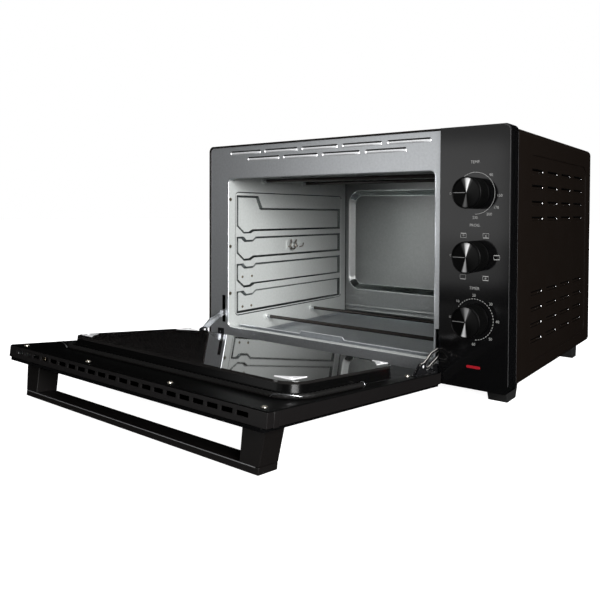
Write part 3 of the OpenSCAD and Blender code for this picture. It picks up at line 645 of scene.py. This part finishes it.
def back_depth(x, z):
    """How far the back is pressed away from the cavity: a wide panel, and two beads near the floor."""
    depth = 12.0 * pressed(from_box(x, z, BACK_PANEL, 32), 14)
    for bead in BACK_BEADS:
        depth = depth - 0.7 * np.exp(-((z - bead) / 1.6) ** 2)
    return depth


def graded(start, flat_from, flat_to, end, last_step):
    """Stations that are close together where the back is shaped, and wide apart where it is flat."""
    return np.concatenate([np.arange(start, flat_from, 1.2), np.arange(flat_from, flat_to, 6.0),
                           np.arange(flat_to, end, last_step)])


xs = graded(LEFT, 100, 434, RIGHT + 0.1, 1.25)
zs = graded(CAVITY_FLOOR, 110, 254, CAVITY_ROOF, 1.2)
back_sheet = relief(xs, zs, lambda x, z: (x, CAVITY_D + back_depth(x, z), z))
back = piece("cavity_back_sheet", *back_sheet, OVEN, "oven", "zinc_back", "galvanised_steel", sharp=60)
# The back's steep slopes take the smoother zinc and its upright slopes the lighter zinc, both lighter than the
# back's painted shade.
patch(back, "zinc_fold_painted_shade", lambda face: abs(face.normal.y) < 0.93)
patch(back, "zinc_flank_painted_highlight", lambda face: abs(face.normal.y) < 0.975 and abs(face.normal.z) < 0.3)
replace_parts(back, "cavity_back")


# --- front frame details ---
SLOT_H = 5.0


def hood(length, out, low, high, far):
    """A louvre's formed hood in local X (along) and Z (up), bulging by out along -Y.

    It rises steeply at its near end and runs out over the distance far at the other.
    """
    end = 4.0

    def shape(u, v):
        t = (v - low) / (high - low)
        near = np.sqrt(np.clip(1 - np.clip((end - u) / end, 0, 1) ** 2, 0, 1))
        ends = near * np.clip((length - u) / far, 0, 1)
        return u, -out * np.sin(np.minimum(t * 1.5, 1.15) * math.pi / 2) ** 0.8 * ends, v

    us = np.concatenate([np.linspace(0, end, 9), np.linspace(end, length - far, 8)[1:-1],
                         np.linspace(length - far, length, 9)])
    return relief(us, np.linspace(low, high, 8), shape)


def dome(radius, height, sides):
    """A small dome on Z = 0, open at its very top."""
    return turned([(radius * math.cos(a), height * math.sin(a)) for a in np.linspace(0, 1.5, 7)], sides)


# Each row's first hood, how many hoods it has, and its height.
FRONT_LOUVRES = ((56.5, 5, 350), (101, 4, 338))
FRONT_LOUVRE_LENGTH = 76
FRONT_LOUVRE_PITCH = 86
# Depth of the flat black sheet behind each front slot, which paints shade into the slot.
PAINTED_SHADE_Y = 0.35
hoods, painted_shade_sheets, glint_domes = [], [], []
for first, count, z in FRONT_LOUVRES:
    for i in range(count):
        x = first + i * FRONT_LOUVRE_PITCH
        hoods.append(moved(hood(FRONT_LOUVRE_LENGTH, 1.7, -1.7, 2.3, 22.0), shift(x, 0, z)))
        glint_domes.append(moved(dome(2.1, 1.5, 16), shift(x + 2.2, -0.9, z + 0.7) @ Y_OUT))
        x0, x1, z0, z1 = x + 1, x + FRONT_LOUVRE_LENGTH - 1, z + 1, z + SLOT_H
        painted_shade_sheet = [(x0, PAINTED_SHADE_Y, z0), (x1, PAINTED_SHADE_Y, z0), (x1, PAINTED_SHADE_Y, z1), (x0, PAINTED_SHADE_Y, z1)]
        painted_shade_sheets.append((painted_shade_sheet, [(0, 1, 2, 3)]))
# The domes at the front hoods' left ends are painted glints.
piece("front_louvre_painted_glints", *join_parts(glint_domes), OVEN, "oven", "zinc_spot", "galvanised_steel")
# The black sheets behind the front slots are painted shade.
piece("front_louvre_painted_shade_sheets", *join_parts(painted_shade_sheets), OVEN, "oven", "rubber", "black_enamel")
# The front hoods are in the lighter zinc, a painted highlight.
front_hoods = piece("front_louvre_hoods_painted_highlight", *join_parts(hoods), OVEN, "oven", "zinc_lip", "galvanised_steel",
                    sharp=70)
thicken(front_hoods, 0.5)

SIDE_LOUVRE_LENGTH = 48
SIDE_LOUVRE_PITCH = 71
SIDE_LOUVRE_Y = 97
SIDE_LOUVRE_Z = [group + 23.8 * i for group in (51, 234) for i in range(4)]
# Radius of the dome at a louvre's rear end, from the front louvre to the rear one. The domes are painted
# glints, smaller where the glint is fainter.
SIDE_GLINT_R = (1.25, 0.9, 0.65, 0.5)
# How far the embossed field that the louvres are in lies inside the body's side.
FIELD_IN = 1.5
hoods, ends = [], []
for x, turn, outwards in ((FIELD_IN, -90, X_OUT), (BODY_W - FIELD_IN, 90, X_IN)):
    for z in SIDE_LOUVRE_Z:
        for i, radius in enumerate(SIDE_GLINT_R):
            front = SIDE_LOUVRE_Y + i * SIDE_LOUVRE_PITCH
            rear = front + SIDE_LOUVRE_LENGTH
            at = shift(x, rear if turn < 0 else front, z)
            place = at @ Matrix.Rotation(math.radians(turn), 4, "Z")
            hoods.append(moved(hood(SIDE_LOUVRE_LENGTH, -4.0, 0.0, SLOT_H, 4.0), place))
            hoods.append(moved(hood(SIDE_LOUVRE_LENGTH, 0.4, SLOT_H - 0.2, SLOT_H + 1.5, 6.0), place))
            at = shift(x, rear - 1, z + SLOT_H / 2 + 0.6)
            ends.append(moved(dome(radius, 0.5, 12), at @ outwards))
# The side hoods and their lips are painted near black as shade.
piece("side_louvre_hoods_painted_shade", *join_parts(hoods), OVEN, "oven", "shade", "black_enamel", sharp=70)
# The domes at the side louvres' rear ends are painted glints.
piece("side_louvre_painted_glints", *join_parts(ends), OVEN, "oven", "zinc_spot", "black_enamel")


def mouth_ring(y, grow, radius):
    """The mouth's outline at a depth, grown by a distance, with corners of a radius."""
    return [(x, y, z) for x, z in ring(LEFT - grow, SILL - grow, RIGHT + grow, HEAD + grow, radius)]


bead = tube(mouth_ring(-0.1, 0.4, 8.4), 0.7, 10, closed=True)
piece("opening_bead", *bead, OVEN, "oven", "zinc", "galvanised_steel")
sleeve = [mouth_ring(y, -0.05, 8) for y in (0.4, FLANGE)]
flange = piece("opening_flange", *loft(sleeve), OVEN, "oven", "zinc_wall", "galvanised_steel")
patch(flange, "zinc_dark", lambda face: face.normal.z > 0.5)
# A thin rod of the lighter zinc along the front of the sill, a painted highlight.
sill_lip_painted_highlight = [(x, -0.5, SILL + 0.2) for x in np.linspace(LEFT + 9, RIGHT - 9, 12)]
piece("sill_lip_painted_highlight", *tube(sill_lip_painted_highlight, 0.3, 10), OVEN, "oven", "zinc_lip", "galvanised_steel")


# --- cavity fittings ---
def pan_head(radius, height):
    """A domed screw head on Z = 0, with a cross that stands just above its top."""
    profile = [(radius, 0), (radius, height * 0.35)]
    for i in range(1, 6):
        a = math.pi / 2 * i / 6
        profile.append((radius * math.cos(a), height * (0.35 + 0.65 * math.sin(a))))
    profile.append((0.001, height))
    arm, wide, lift = radius * 0.55, radius * 0.14, height * 1.02
    cross = [block((-arm, -wide, height * 0.6), (arm, wide, lift)),
             block((-wide, -arm, height * 0.6), (wide, arm, lift))]
    return join_parts([turned(profile, 20)] + cross)


def heads(name, places, radius, height, space, body, look, slot):
    """One piece made of the same screw head at several places."""
    head = pan_head(radius, height)
    return piece(name, *join_parts([moved(head, p) for p in places]), space, body, look, slot)


def on_both_walls(depth, spots):
    """Places on the left wall and then on the right one, sunk by a depth, at (Y, Z) spots."""
    left = [shift(LEFT - depth, y, z) @ X_IN for y, z in spots]
    return left + [shift(RIGHT + depth, y, z) @ X_OUT for y, z in spots]


FLANGE_SCREWS = [(4.7, z) for z in (92.5, 180, 267.2)]
RIVETS = [(38.6, 120.2), (62.9, 120.1), (38.7, 63.3), (61.4, 62.8)]
# The head stays this low so that the closed window panel clears it.
FLANGE_HEAD_H = 0.18
places = on_both_walls(0, FLANGE_SCREWS)
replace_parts(heads("flange_screw_heads", places, 3.2, FLANGE_HEAD_H, OVEN, "oven", "screw_dull", "screw_dull"),
            "flange_screws")
places = on_both_walls(POCKET_DEPTH, RIVETS)
heads("bracket_rivets", places, 2.4, 1.0, OVEN, "oven", "screw_dull", "screw_dull")

HEATERS = ((90, 305), (207, 305), (101, 37), (235, 37))
FERRULE = [(3.0, 0), (3.5, 0.2), (3.5, 4.5), (3.2, 5.0), (3.5, 5.5), (3.5, 6.6), (3.0, 7.0)]
FERRULE_OFF_WALL = 3
ferrules = []
for y, z in HEATERS:
    for place in on_both_walls(-FERRULE_OFF_WALL, [(y, z)]):
        ferrules.append(moved(turned(FERRULE, 24), place))
piece("heater_ferrules", *join_parts(ferrules), OVEN, "oven", "steel", "inner_steel")


# --- spit support ---
def plate(outline, x, thick, holes):
    """A flat plate in Y and Z at X, cut by round holes, as a filled curve turned to a mesh."""
    curve = bpy.data.curves.new("plate", "CURVE")
    curve.dimensions = "2D"
    curve.fill_mode = "BOTH"
    curve.extrude = thick / 2
    angles = [2 * math.pi * i / 24 for i in range(24)]
    rounds = [[(cy + r * math.cos(a), cz + r * math.sin(a)) for a in angles] for cy, cz, r in holes]
    for loop in [outline] + rounds:
        spline = curve.splines.new("POLY")
        spline.points.add(len(loop) - 1)
        for point, (a, b) in zip(spline.points, loop):
            point.co = (a, b, 0, 1)
        spline.use_cyclic_u = True
    holder = bpy.data.objects.new("plate", curve)
    mesh = bpy.data.meshes.new_from_object(holder)
    points = [(x + v.co.z, v.co.x, v.co.y) for v in mesh.vertices]
    faces = [tuple(p.vertices) for p in mesh.polygons]
    bpy.data.objects.remove(holder)
    bpy.data.curves.remove(curve)
    bpy.data.meshes.remove(mesh)
    return points, faces


SPIT_Y, SPIT_Z = 172, 176
WALL_X = LEFT - POCKET_DEPTH
CRADLE_X = WALL_X + 9
CRADLE_R = 8.2


def by_spit(x, corners):
    """Points at X from (Y, Z) offsets from the spit's axis."""
    return [(x, SPIT_Y + dy, SPIT_Z + dz) for dy, dz in corners]


def round_spit(degrees):
    """Offsets from the spit's axis of points on the cradle's wire."""
    return [(CRADLE_R * math.cos(a), CRADLE_R * math.sin(a)) for a in np.radians(degrees)]


PLATE = [(-12, -9), (38, -9), (38, 8), (14, 9), (9, 11), (-9, 11), (-12, 7)]
PLATE_HOLES = [(SPIT_Y + 26.5, SPIT_Z + 3, 2.5), (SPIT_Y, SPIT_Z, 5)]
outline = [(y, z) for _, y, z in by_spit(0, PLATE)]
spit_plate = plate(outline, WALL_X + 0.8, 1.5, PLATE_HOLES)
piece("spit_plate", *spit_plate, OVEN, "oven", "zinc_wall", "galvanised_steel")

bowl = round_spit(np.linspace(130, 410, 30))
front_hook = [(bowl[0][0] - 0.5 - 0.4 * i, bowl[0][1] + 2.0 * i) for i in (3, 2, 1)]
rear_hook = [(bowl[-1][0] + 1 + i, bowl[-1][1] + 1.5 * i) for i in (1, 2, 3)]
parts = [tube(by_spit(CRADLE_X, front_hook + bowl + rear_hook), 1.5, 10)]
for spot in round_spit((200, 270, 340)):
    parts.append(tube(by_spit(WALL_X + 1, [spot]) + by_spit(CRADLE_X, [spot]), 1.3, 8))
screw_at = shift(WALL_X + 1.5, SPIT_Y + 19, SPIT_Z - 3)
parts.append(moved(pan_head(2.4, 1.4), screw_at @ X_IN))
latch = []
for off_wall, offset in ((1.5, (26.5, -5)), (10, (28, -3)), (11, (29, 4))):
    latch += by_spit(WALL_X + off_wall, [offset])
parts.append(tube(latch, 1.2, 8))
cradle = piece("spit_cradle", *join_parts(parts), OVEN, "oven", "cast", "cast_fitting")
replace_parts(cradle, "spit_support")


# --- crumb tray ---
TRAY_X0, TRAY_Y0, TRAY_Z0 = in_oven("crumb_tray", 0)
TRAY_X1, TRAY_Y1, TRAY_Z1 = in_oven("crumb_tray", 1)
TRAY_LIP = TRAY_Z1 - 5
TRAY_RIM = 6.0
TRAY_RUN = TRAY_Y1 - TRAY_Y0
TRAY_SHEET = 0.4
TRAY_PANEL = (98, 60, 440, 296)
# The lip is raised to a tab between these two X.
TAB = (205, 303)


def tray_shape(x, s):
    """The tray's skin. s runs down the rear rim, over the floor, 1 up the lip and 1 round its curl."""
    tab = np.clip((x - TAB[0]) / 4, 0, 1) * np.clip((TAB[1] - x) / 4, 0, 1)
    lip = TRAY_LIP + (TRAY_Z1 - TRAY_LIP) * tab * tab * (3 - 2 * tab)
    floor_y = TRAY_Y1 - np.clip(s - TRAY_RIM, 0, TRAY_RUN)
    rise = np.clip(s - TRAY_RIM - TRAY_RUN, 0, 1)
    y = floor_y + 0 * x
    floor_z = TRAY_Z0 + TRAY_SHEET
    z = np.where(s < TRAY_RIM, TRAY_Z0 + TRAY_RIM - s, floor_z + rise * (lip - floor_z))
    on_floor = (s > TRAY_RIM) & (s < TRAY_RIM + TRAY_RUN)
    z = z + np.where(on_floor, 2.4 * pressed(from_box(x, floor_y, TRAY_PANEL, 14), 7), 0)
    side = np.minimum(x - TRAY_X0, TRAY_X1 - x)
    side_wall = TRAY_Z0 + TRAY_RIM * (1 - np.clip(side / 1.2, 0, 1))
    z = np.maximum(z, np.where(on_floor, side_wall, z))
    curl = np.clip(s - TRAY_RIM - TRAY_RUN - 1, 0, 1)
    return x, y - 2.2 * np.sin(curl * math.pi / 2), z - 1.0 * curl ** 3


lip_s = TRAY_RIM + TRAY_RUN
stations = np.concatenate([np.linspace(0, TRAY_RIM, 4), np.linspace(TRAY_RIM + 0.5, lip_s - 0.5, 150),
                           np.linspace(lip_s, lip_s + 1, 8), np.linspace(lip_s + 1, lip_s + 2, 6)[1:]])
xs = np.concatenate([np.linspace(TRAY_X0, TRAY_X0 + 3, 5), np.linspace(TRAY_X0 + 4, TRAY_X1 - 4, 200),
                     np.linspace(TRAY_X1 - 3, TRAY_X1, 5)])
tray = piece("crumb_tray_sheet", *relief(xs, stations, tray_shape), OVEN, "crumb_tray_body", "zinc_dark",
             "floor_steel", sharp=50)
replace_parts(tray, "crumb_tray")
# A rod of the lighter zinc laid on the lip's curl, a painted highlight.
hem_x = np.concatenate([np.linspace(TRAY_X0 + 1, TAB[0] - 1, 20), np.linspace(TAB[0], TAB[0] + 5, 8),
                        np.linspace(TAB[0] + 8, TAB[1] - 8, 12), np.linspace(TAB[1] - 5, TAB[1], 8),
                        np.linspace(TAB[1] + 1, TRAY_X1 - 1, 20)])
curl_top = [[float(c) for c in tray_shape(x, np.float64(lip_s + 1.25))] for x in hem_x]
hem_highlight = tube([(x, y, z + 0.1) for x, y, z in curl_top], 0.45, 8)
piece("crumb_tray_hem_painted_highlight", *hem_highlight, OVEN, "crumb_tray_body", "zinc_lip", "floor_steel")


# --- knobs ---
KNOB_R = (in_oven("mode_knob", 1).x - in_oven("mode_knob", 0).x) / 2
KNOB_L = in_oven("mode_knob", 1).y - in_oven("mode_knob", 0).y
FLUTES = 90
GROOVE = 0.35


def knob_place(name):
    """Stands a knob drawn on Z = 0 on the fascia, its face towards -Y."""
    middle = centre(name + "_knob")
    foot = Vector((middle.x, in_oven(name + "_knob", 1).y, middle.z))
    return OVEN @ Matrix.Translation(foot) @ Y_OUT


def barrel():
    """The fluted barrel with a plain collar at each end."""
    steps = FLUTES * 4
    face = KNOB_L - 1.0
    # Height, how far the radius is changed, and whether it is fluted there.
    foot = [(0.0, -0.7, 0), (0.5, 0, 0), (2.5, 0, 0), (2.7, -GROOVE, 0), (3.2, -GROOVE, 1)]
    collar = [(face - 3.2, -GROOVE, 1), (face - 2.7, -GROOVE, 0), (face - 2.5, 0, 0), (face + 0.5, 0, 0)]
    lip = [(KNOB_L, -0.6, 0), (KNOB_L, -1.6, 0), (KNOB_L - 0.8, -1.7, 0)]
    rings = []
    for z, change, fluted in foot + collar + lip:
        loop = []
        for j in range(steps):
            a = 2 * math.pi * j / steps
            r = KNOB_R + change + fluted * 0.22 * (1 if j % 4 < 2 else -1)
            loop.append((r * math.cos(a), r * math.sin(a), z))
        rings.append(loop)
    return loft(rings, caps=(True, False))


def spun_face():
    """The turned metal disc with a raised lip."""
    outer = KNOB_R - 1.65
    profile = [(outer, KNOB_L - 0.9), (outer, KNOB_L - 0.35), (outer - 0.35, KNOB_L - 0.2),
               (outer - 0.7, KNOB_L - 0.45)]
    profile += [(r, KNOB_L - 0.5) for r in np.linspace(outer - 0.9, 0.02, 12)]
    return turned(profile, 96)


def face_trim():
    """A bright ring round the disc."""
    r = KNOB_R - 0.75
    angles = np.linspace(0, 2 * math.pi, 97)[:-1]
    path = [(r * math.cos(a), r * math.sin(a), KNOB_L - 0.1) for a in angles]
    return tube(path, 0.32, 8, closed=True)


pointer = block((-KNOB_R + 2.6, -0.32, KNOB_L - 0.52), (-1.5, 0.32, KNOB_L - 0.36))
for name in CAP_PAINTED_SHINE:
    place = knob_place(name)
    body = name + "_control"
    fluted = piece(name + "_barrel", *barrel(), place, body, "knob", "knob_black", sharp=30)
    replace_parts(fluted, name + "_knob")
    disc = piece(name + "_face", *spun_face(), place, body, name + "_spun", "knob_face", sharp=25)
    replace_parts(disc, name + "_cap")
    piece(name + "_trim", *face_trim(), place, body, "trim", "knob_face")
    piece(name + "_pointer", *pointer, place, body, "pointer", "knob_face")


# --- printed scales ---
FASCIA_Y = in_oven("control_fascia", 0).y
PRINT_Y = FASCIA_Y - 0.05


def lettering(text, x, z, size):
    """Text centred on a point of the fascia."""
    curve = bpy.data.curves.new("text", "FONT")
    curve.body = text
    curve.size = size
    curve.align_x = "CENTER"
    curve.align_y = "CENTER"
    curve.resolution_u = 3
    holder = bpy.data.objects.new("text", curve)
    mesh = bpy.data.meshes.new_from_object(holder)
    points = [(x + v.co.x, PRINT_Y, z + v.co.y) for v in mesh.vertices]
    faces = [tuple(p.vertices) for p in mesh.polygons]
    bpy.data.objects.remove(holder)
    return points, faces


def clock(hours):
    """The angle of a clock position, measured anticlockwise from +X."""
    return math.radians(90 - hours * 30)


def arc(x, z, radius, start, end, width=0.55, dashes=1, share=1.0, steps=60):
    """A printed arc, clockwise between two clock positions. Each dash fills a share of its stretch."""
    parts = []
    for i in range(dashes):
        a0 = clock(start + (end - start) * i / dashes)
        a1 = clock(start + (end - start) * (i + share) / dashes)
        rings = []
        for r in (radius - width / 2, radius + width / 2):
            angles = np.linspace(a0, a1, steps)
            rings.append([(x + r * math.cos(a), PRINT_Y, z + r * math.sin(a)) for a in angles])
        parts.append(loft(rings, closed=False))
    return join_parts(parts)


def bar(x0, z0, x1, z1):
    """A printed rectangle."""
    return [(x0, PRINT_Y, z0), (x1, PRINT_Y, z0), (x1, PRINT_Y, z1), (x0, PRINT_Y, z1)], [(0, 1, 2, 3)]


def icon(x, z, upper, lower, spit):
    """A generic oven mark: a frame with a thick bar for each heater in use, and a cross for the spit."""
    w, h, line, thick = 4.6, 3.4, 0.45, 1.2
    parts = [bar(x - w, z - h, x - w + line, z + h), bar(x + w - line, z - h, x + w, z + h),
             bar(x - w, z + h - (thick if upper else line), x + w, z + h),
             bar(x - w, z - h, x + w, z - h + (thick if lower else line))]
    if spit:
        parts += [bar(x - 0.4, z - 1.3, x + 0.4, z + 1.3), bar(x - 1.3, z - 0.4, x + 1.3, z + 0.4)]
    return join_parts(parts)


KNOB_X = centre("mode_knob").x
KNOB_Z = {name: centre(name + "_knob").z for name in CAP_PAINTED_SHINE}
LABEL_RISE = 43.0
LABEL_SIZE = 5.6
NUMBER_SIZE = 5.4
ZERO_X = 512
LABELS = {"temperature": "TEMP.", "mode": "PROG.", "timer": "TIMER"}
# Numbers and marks as (what, X, height over their knob's middle).
DEGREES = (("90", 572.3, 24.4), ("150", 585, -3.5), ("170", 580, -19.7), ("200", 570, -28.9),
           ("230", 549, -33.8))
MINUTES = (("10", 523.7, 23.2), ("20", 548.5, 33.2), ("30", 573.5, 23.2), ("40", 583.5, 0),
           ("50", 573.5, -24.8), ("60", 548.5, -34.8))
# Whether each mark shows the upper heaters, the lower ones and the spit.
MODES = (((1, 0, 1), 531.6, 28.8), ((0, 1, 1), 565.5, 28.8), ((1, 1, 0), 581.5, -0.2),
         ((1, 1, 1), 565.5, -29.4), ((0, 1, 0), 531.3, -29.5))


def zero_mark(x, name):
    """The small ring at a dial's off position."""
    return arc(x, KNOB_Z[name], 1.3, 0, 12, 0.9)


def numbers(name, table):
    """A dial's numbers."""
    return [lettering(text, x, KNOB_Z[name] + dz, NUMBER_SIZE) for text, x, dz in table]


marks = [lettering(text, KNOB_X, KNOB_Z[name] + LABEL_RISE, LABEL_SIZE) for name, text in LABELS.items()]
marks.append(arc(KNOB_X, KNOB_Z["temperature"], 29, -1.6, 6.0))
marks += numbers("temperature", DEGREES)
marks.append(zero_mark(ZERO_X - 1.3, "temperature"))
marks += [icon(x, KNOB_Z["mode"] + dz, *shown) for shown, x, dz in MODES]
marks.append(zero_mark(ZERO_X, "mode"))
marks.append(arc(KNOB_X, KNOB_Z["timer"], 28.5, -2.2, 6.0, 1.0, dashes=30, share=0.5, steps=3))
marks += numbers("timer", MINUTES)
marks.append(zero_mark(ZERO_X, "timer"))
piece("fascia_print", *join_parts(marks), OVEN, "oven", "print", "fascia_black")


# --- painted highlights along the fascia's edges ---
SKIRT_Y = in_oven("control_fascia", 1).y
FASCIA_X1 = in_oven("control_fascia", 1).x
FASCIA_R = 10
FASCIA_FOOT = 12
edge_highlights = []
for inset, y in ((1.6, FASCIA_Y + 0.25), (0.3, SKIRT_Y + 0.2)):
    middle_x, middle_z, r = FASCIA_X1 - FASCIA_R, BODY_H - FASCIA_R, FASCIA_R - inset
    angles = np.linspace(0, math.pi / 2, 9)
    turn = [(middle_x + r * math.cos(a), y, middle_z + r * math.sin(a)) for a in angles]
    edge_highlights.append(tube([(FASCIA_X1 - inset, y, FASCIA_FOOT)] + turn, 0.3, 8))
piece("fascia_painted_edge_highlights", *join_parts(edge_highlights), OVEN, "oven", "edge", "fascia_black")


# --- door ---
DOOR_X0 = in_oven("inner_pan", 0).x
DOOR_X1 = in_oven("inner_pan", 1).x
DOOR_L = 341.7
# The raised window panel: its foot (X, S, X, S), corners, height, and how far its walls lean in.
PLUG = (52, 78, 482, 289)
PLUG_R = 28
PLUG_H = 17
PLUG_DRAFT = 1.8
# The slotted rail at the door's outer end starts at this S and ends at this T.
RAIL_S = 333
RAIL_T1 = 16.4


def plug_ring(grow, t):
    """The window panel's outline, grown by a distance, at a depth."""
    x0, s0, x1, s1 = PLUG
    return [(x, s, t) for x, s in ring(x0 - grow, s0 - grow, x1 + grow, s1 + grow, PLUG_R + grow, 14)]


def sheet_ring(inset, t):
    """The door sheet's outline, drawn in by a distance, at a depth."""
    outline = ring(DOOR_X0 + inset, inset, DOOR_X1 - inset, DOOR_L - 0.3 - inset, 1.6 - inset, 14)
    return [(x, s, t) for x, s in outline]


def foot_fillet(radius, steps):
    """Rings from the flat sheet round into the window panel's wall."""
    turns = [math.pi / 2 * i / steps for i in range(steps + 1)]
    return [plug_ring(radius * (1 - math.sin(a)), -radius * (1 - math.cos(a))) for a in turns]


def top_round(radius, steps):
    """Rings from the wall, leant in, round onto the window panel's top."""
    turns = [math.pi / 2 * i / steps for i in range(steps + 1)]
    return [plug_ring(-PLUG_DRAFT - radius * (1 - math.cos(a)), -PLUG_H + radius - radius * math.sin(a))
            for a in turns]


rings = [sheet_ring(inset, t) for inset, t in ((0, 1.2), (0.35, 0.35), (1.2, 0))]
rings += foot_fillet(2.0, 4) + top_round(2.6, 5)
rings += [plug_ring(-7.0, -PLUG_H), plug_ring(-7.6, -PLUG_H + 0.5), plug_ring(-7.7, -PLUG_H + 4)]
pan = piece("door_pan_sheet", *loft(rings), DOOR, "door", "plug", "pan_enamel", sharp=50)
to_door = DOOR.inverted()
flat_verts = {v.index for v in pan.data.vertices if abs((to_door @ v.co).z) < 1.3}
patch(pan, "pan", lambda face: flat_verts.issuperset(face.vertices))
patch(pan, "plug_side", lambda face: (to_door.to_3x3() @ face.normal).y > 0.94)
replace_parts(pan, "inner_pan")
SIDE_T0 = 0.9
sides = [block((DOOR_X0, -8, SIDE_T0), (DOOR_X0 + 1, RAIL_S - 0.6, RAIL_T1)),
         block((DOOR_X1 - 1, -8, SIDE_T0), (DOOR_X1, RAIL_S - 0.6, RAIL_T1)),
         block((DOOR_X0 + 2.5, 0.1, SIDE_T0), (31, 1.1, RAIL_T1)),
         block((45, 0.1, SIDE_T0), (484, 1.1, RAIL_T1)),
         block((DOOR_X0 + 3, RAIL_S, 0.6), (DOOR_X1 - 3, RAIL_S + 1, 1.2)),
         block((DOOR_X1 - 0.2, RAIL_S - 9, 1.6), (DOOR_X1 + 0.4, RAIL_S - 0.8, RAIL_T1 + 0.6))]
soften(piece("door_pan_sides", *join_parts(sides), DOOR, "door", "rail", "pan_enamel"), 0.3)

CLIP_LEG = 26
CLIP_WEB = CLIP_LEG * 0.42
CLIP = [(0, 0), (CLIP_LEG, 0), (CLIP_LEG - 1, 1.4), (2.0 + CLIP_WEB, CLIP_WEB), (1.4, CLIP_LEG - 1),
        (0, CLIP_LEG)]
CLIP_CORNERS = ((60, 84, 1, 1), (467, 84, -1, 1), (467, 274, -1, -1), (60, 274, 1, -1))
clips = []
for x, s, sx, ss in CLIP_CORNERS:
    low = [(x + sx * a, s + ss * b, -PLUG_H - 0.02) for a, b in CLIP]
    high = [(x + sx * (a * 0.97 + 0.3), s + ss * (b * 0.97 + 0.3), -PLUG_H - 0.75) for a, b in CLIP]
    clips.append(loft([low, high], caps=(True, True)))
    spot = shift(x + sx * 6.5, s + ss * 6.5, -PLUG_H - 0.7)
    clips.append(moved(pan_head(2.4, 0.6), spot @ FLIP))
clip_piece = piece("window_clips", *join_parts(clips), DOOR, "door", "chrome", "clip_chrome", sharp=20)
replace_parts(clip_piece, "glass_clips")

PAN_SCREWS = [(22, 330), (176, 330), (339, 330), (484, 330), (484, 60)]
places = [shift(x, s, 0) @ FLIP for x, s in PAN_SCREWS]
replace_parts(heads("pan_screw_heads", places, 3.4, 1.5, DOOR, "door", "screw", "pan_screw"), "pan_screws")


# --- door seal ---
GASKET_OUT = 8
GASKET_R = 3.3
GASKET_T = -GASKET_R - 0.1
GASKET_S0 = 172
GASKET_X = (PLUG[0] - GASKET_OUT, PLUG[2] + GASKET_OUT)
GASKET_S1 = PLUG[3] + GASKET_OUT
GASKET_STEP = 1.2


def gasket_path():
    """The seal's centreline: up one side, across near the outer end, and back down the other side."""
    bend, step = PLUG_R + GASKET_OUT, GASKET_STEP
    x0, x1 = GASKET_X[0] + bend, GASKET_X[1] - bend
    s1 = GASKET_S1 - bend
    turns = np.linspace(0, math.pi / 2, int(bend * math.pi / 2 / step))
    path = [(GASKET_X[0], s) for s in np.arange(GASKET_S0, s1, step)]
    path += [(x0 - bend * math.cos(a), s1 + bend * math.sin(a)) for a in turns]
    path += [(x, GASKET_S1) for x in np.arange(x0 + step, x1, step)]
    path += [(x1 + bend * math.sin(a), s1 + bend * math.cos(a)) for a in turns]
    path += [(GASKET_X[1], s) for s in np.arange(s1 - step, GASKET_S0, -step)]
    return [(x, s, GASKET_T) for x, s in path]


def braid(along, angle):
    """The seal's radius: two sets of strands crossing round it."""
    twist = along / 7.0 * 2 * math.pi
    return GASKET_R - 0.35 + 0.22 * math.sin(4 * angle + twist) + 0.22 * math.sin(4 * angle - twist)


braided = tube(gasket_path(), braid, 16)
seal = piece("gasket_braid", *braided, DOOR, "door", "gasket", "gasket_black", sharp=180)
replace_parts(seal, "door_gasket")
TIE_R = 3.7
# The wire that hooks over each of the seal's bends, as (X inwards, S, T) from the bend's square corner.
HOOK = [(28, 3.2, -2.0), (24, 3.6, -5.2), (15, 2.6, -6.9), (6, -0.6, -6.9), (-0.5, -6.0, -6.6),
        (-3.2, -12, -5.0)]
wires = []
for x, inwards in zip(GASKET_X, (1, -1)):
    tie = [(x + TIE_R * math.cos(a), GASKET_S0 + 2, GASKET_T + TIE_R * math.sin(a))
           for a in np.linspace(0, 2 * math.pi, 21)[:-1]]
    wires.append(tube(tie, 0.35, 6, closed=True))
    wires.append(tube([(x + inwards * a, GASKET_S1 + b, t) for a, b, t in HOOK], 0.5, 8))
piece("gasket_wires", *join_parts(wires), DOOR, "door", "steel", "clip_chrome")


# --- painted highlight along the handle's lip ---
LIP_X = (29, 473)
LIP_S = 325.0
LIP_T = 61.3
lip_highlight_path = [(x, LIP_S, LIP_T) for x in np.linspace(*LIP_X, 12)]
piece("handle_painted_lip_highlight", *tube(lip_highlight_path, 0.4, 8), DOOR, "door", "edge", "handle_black")
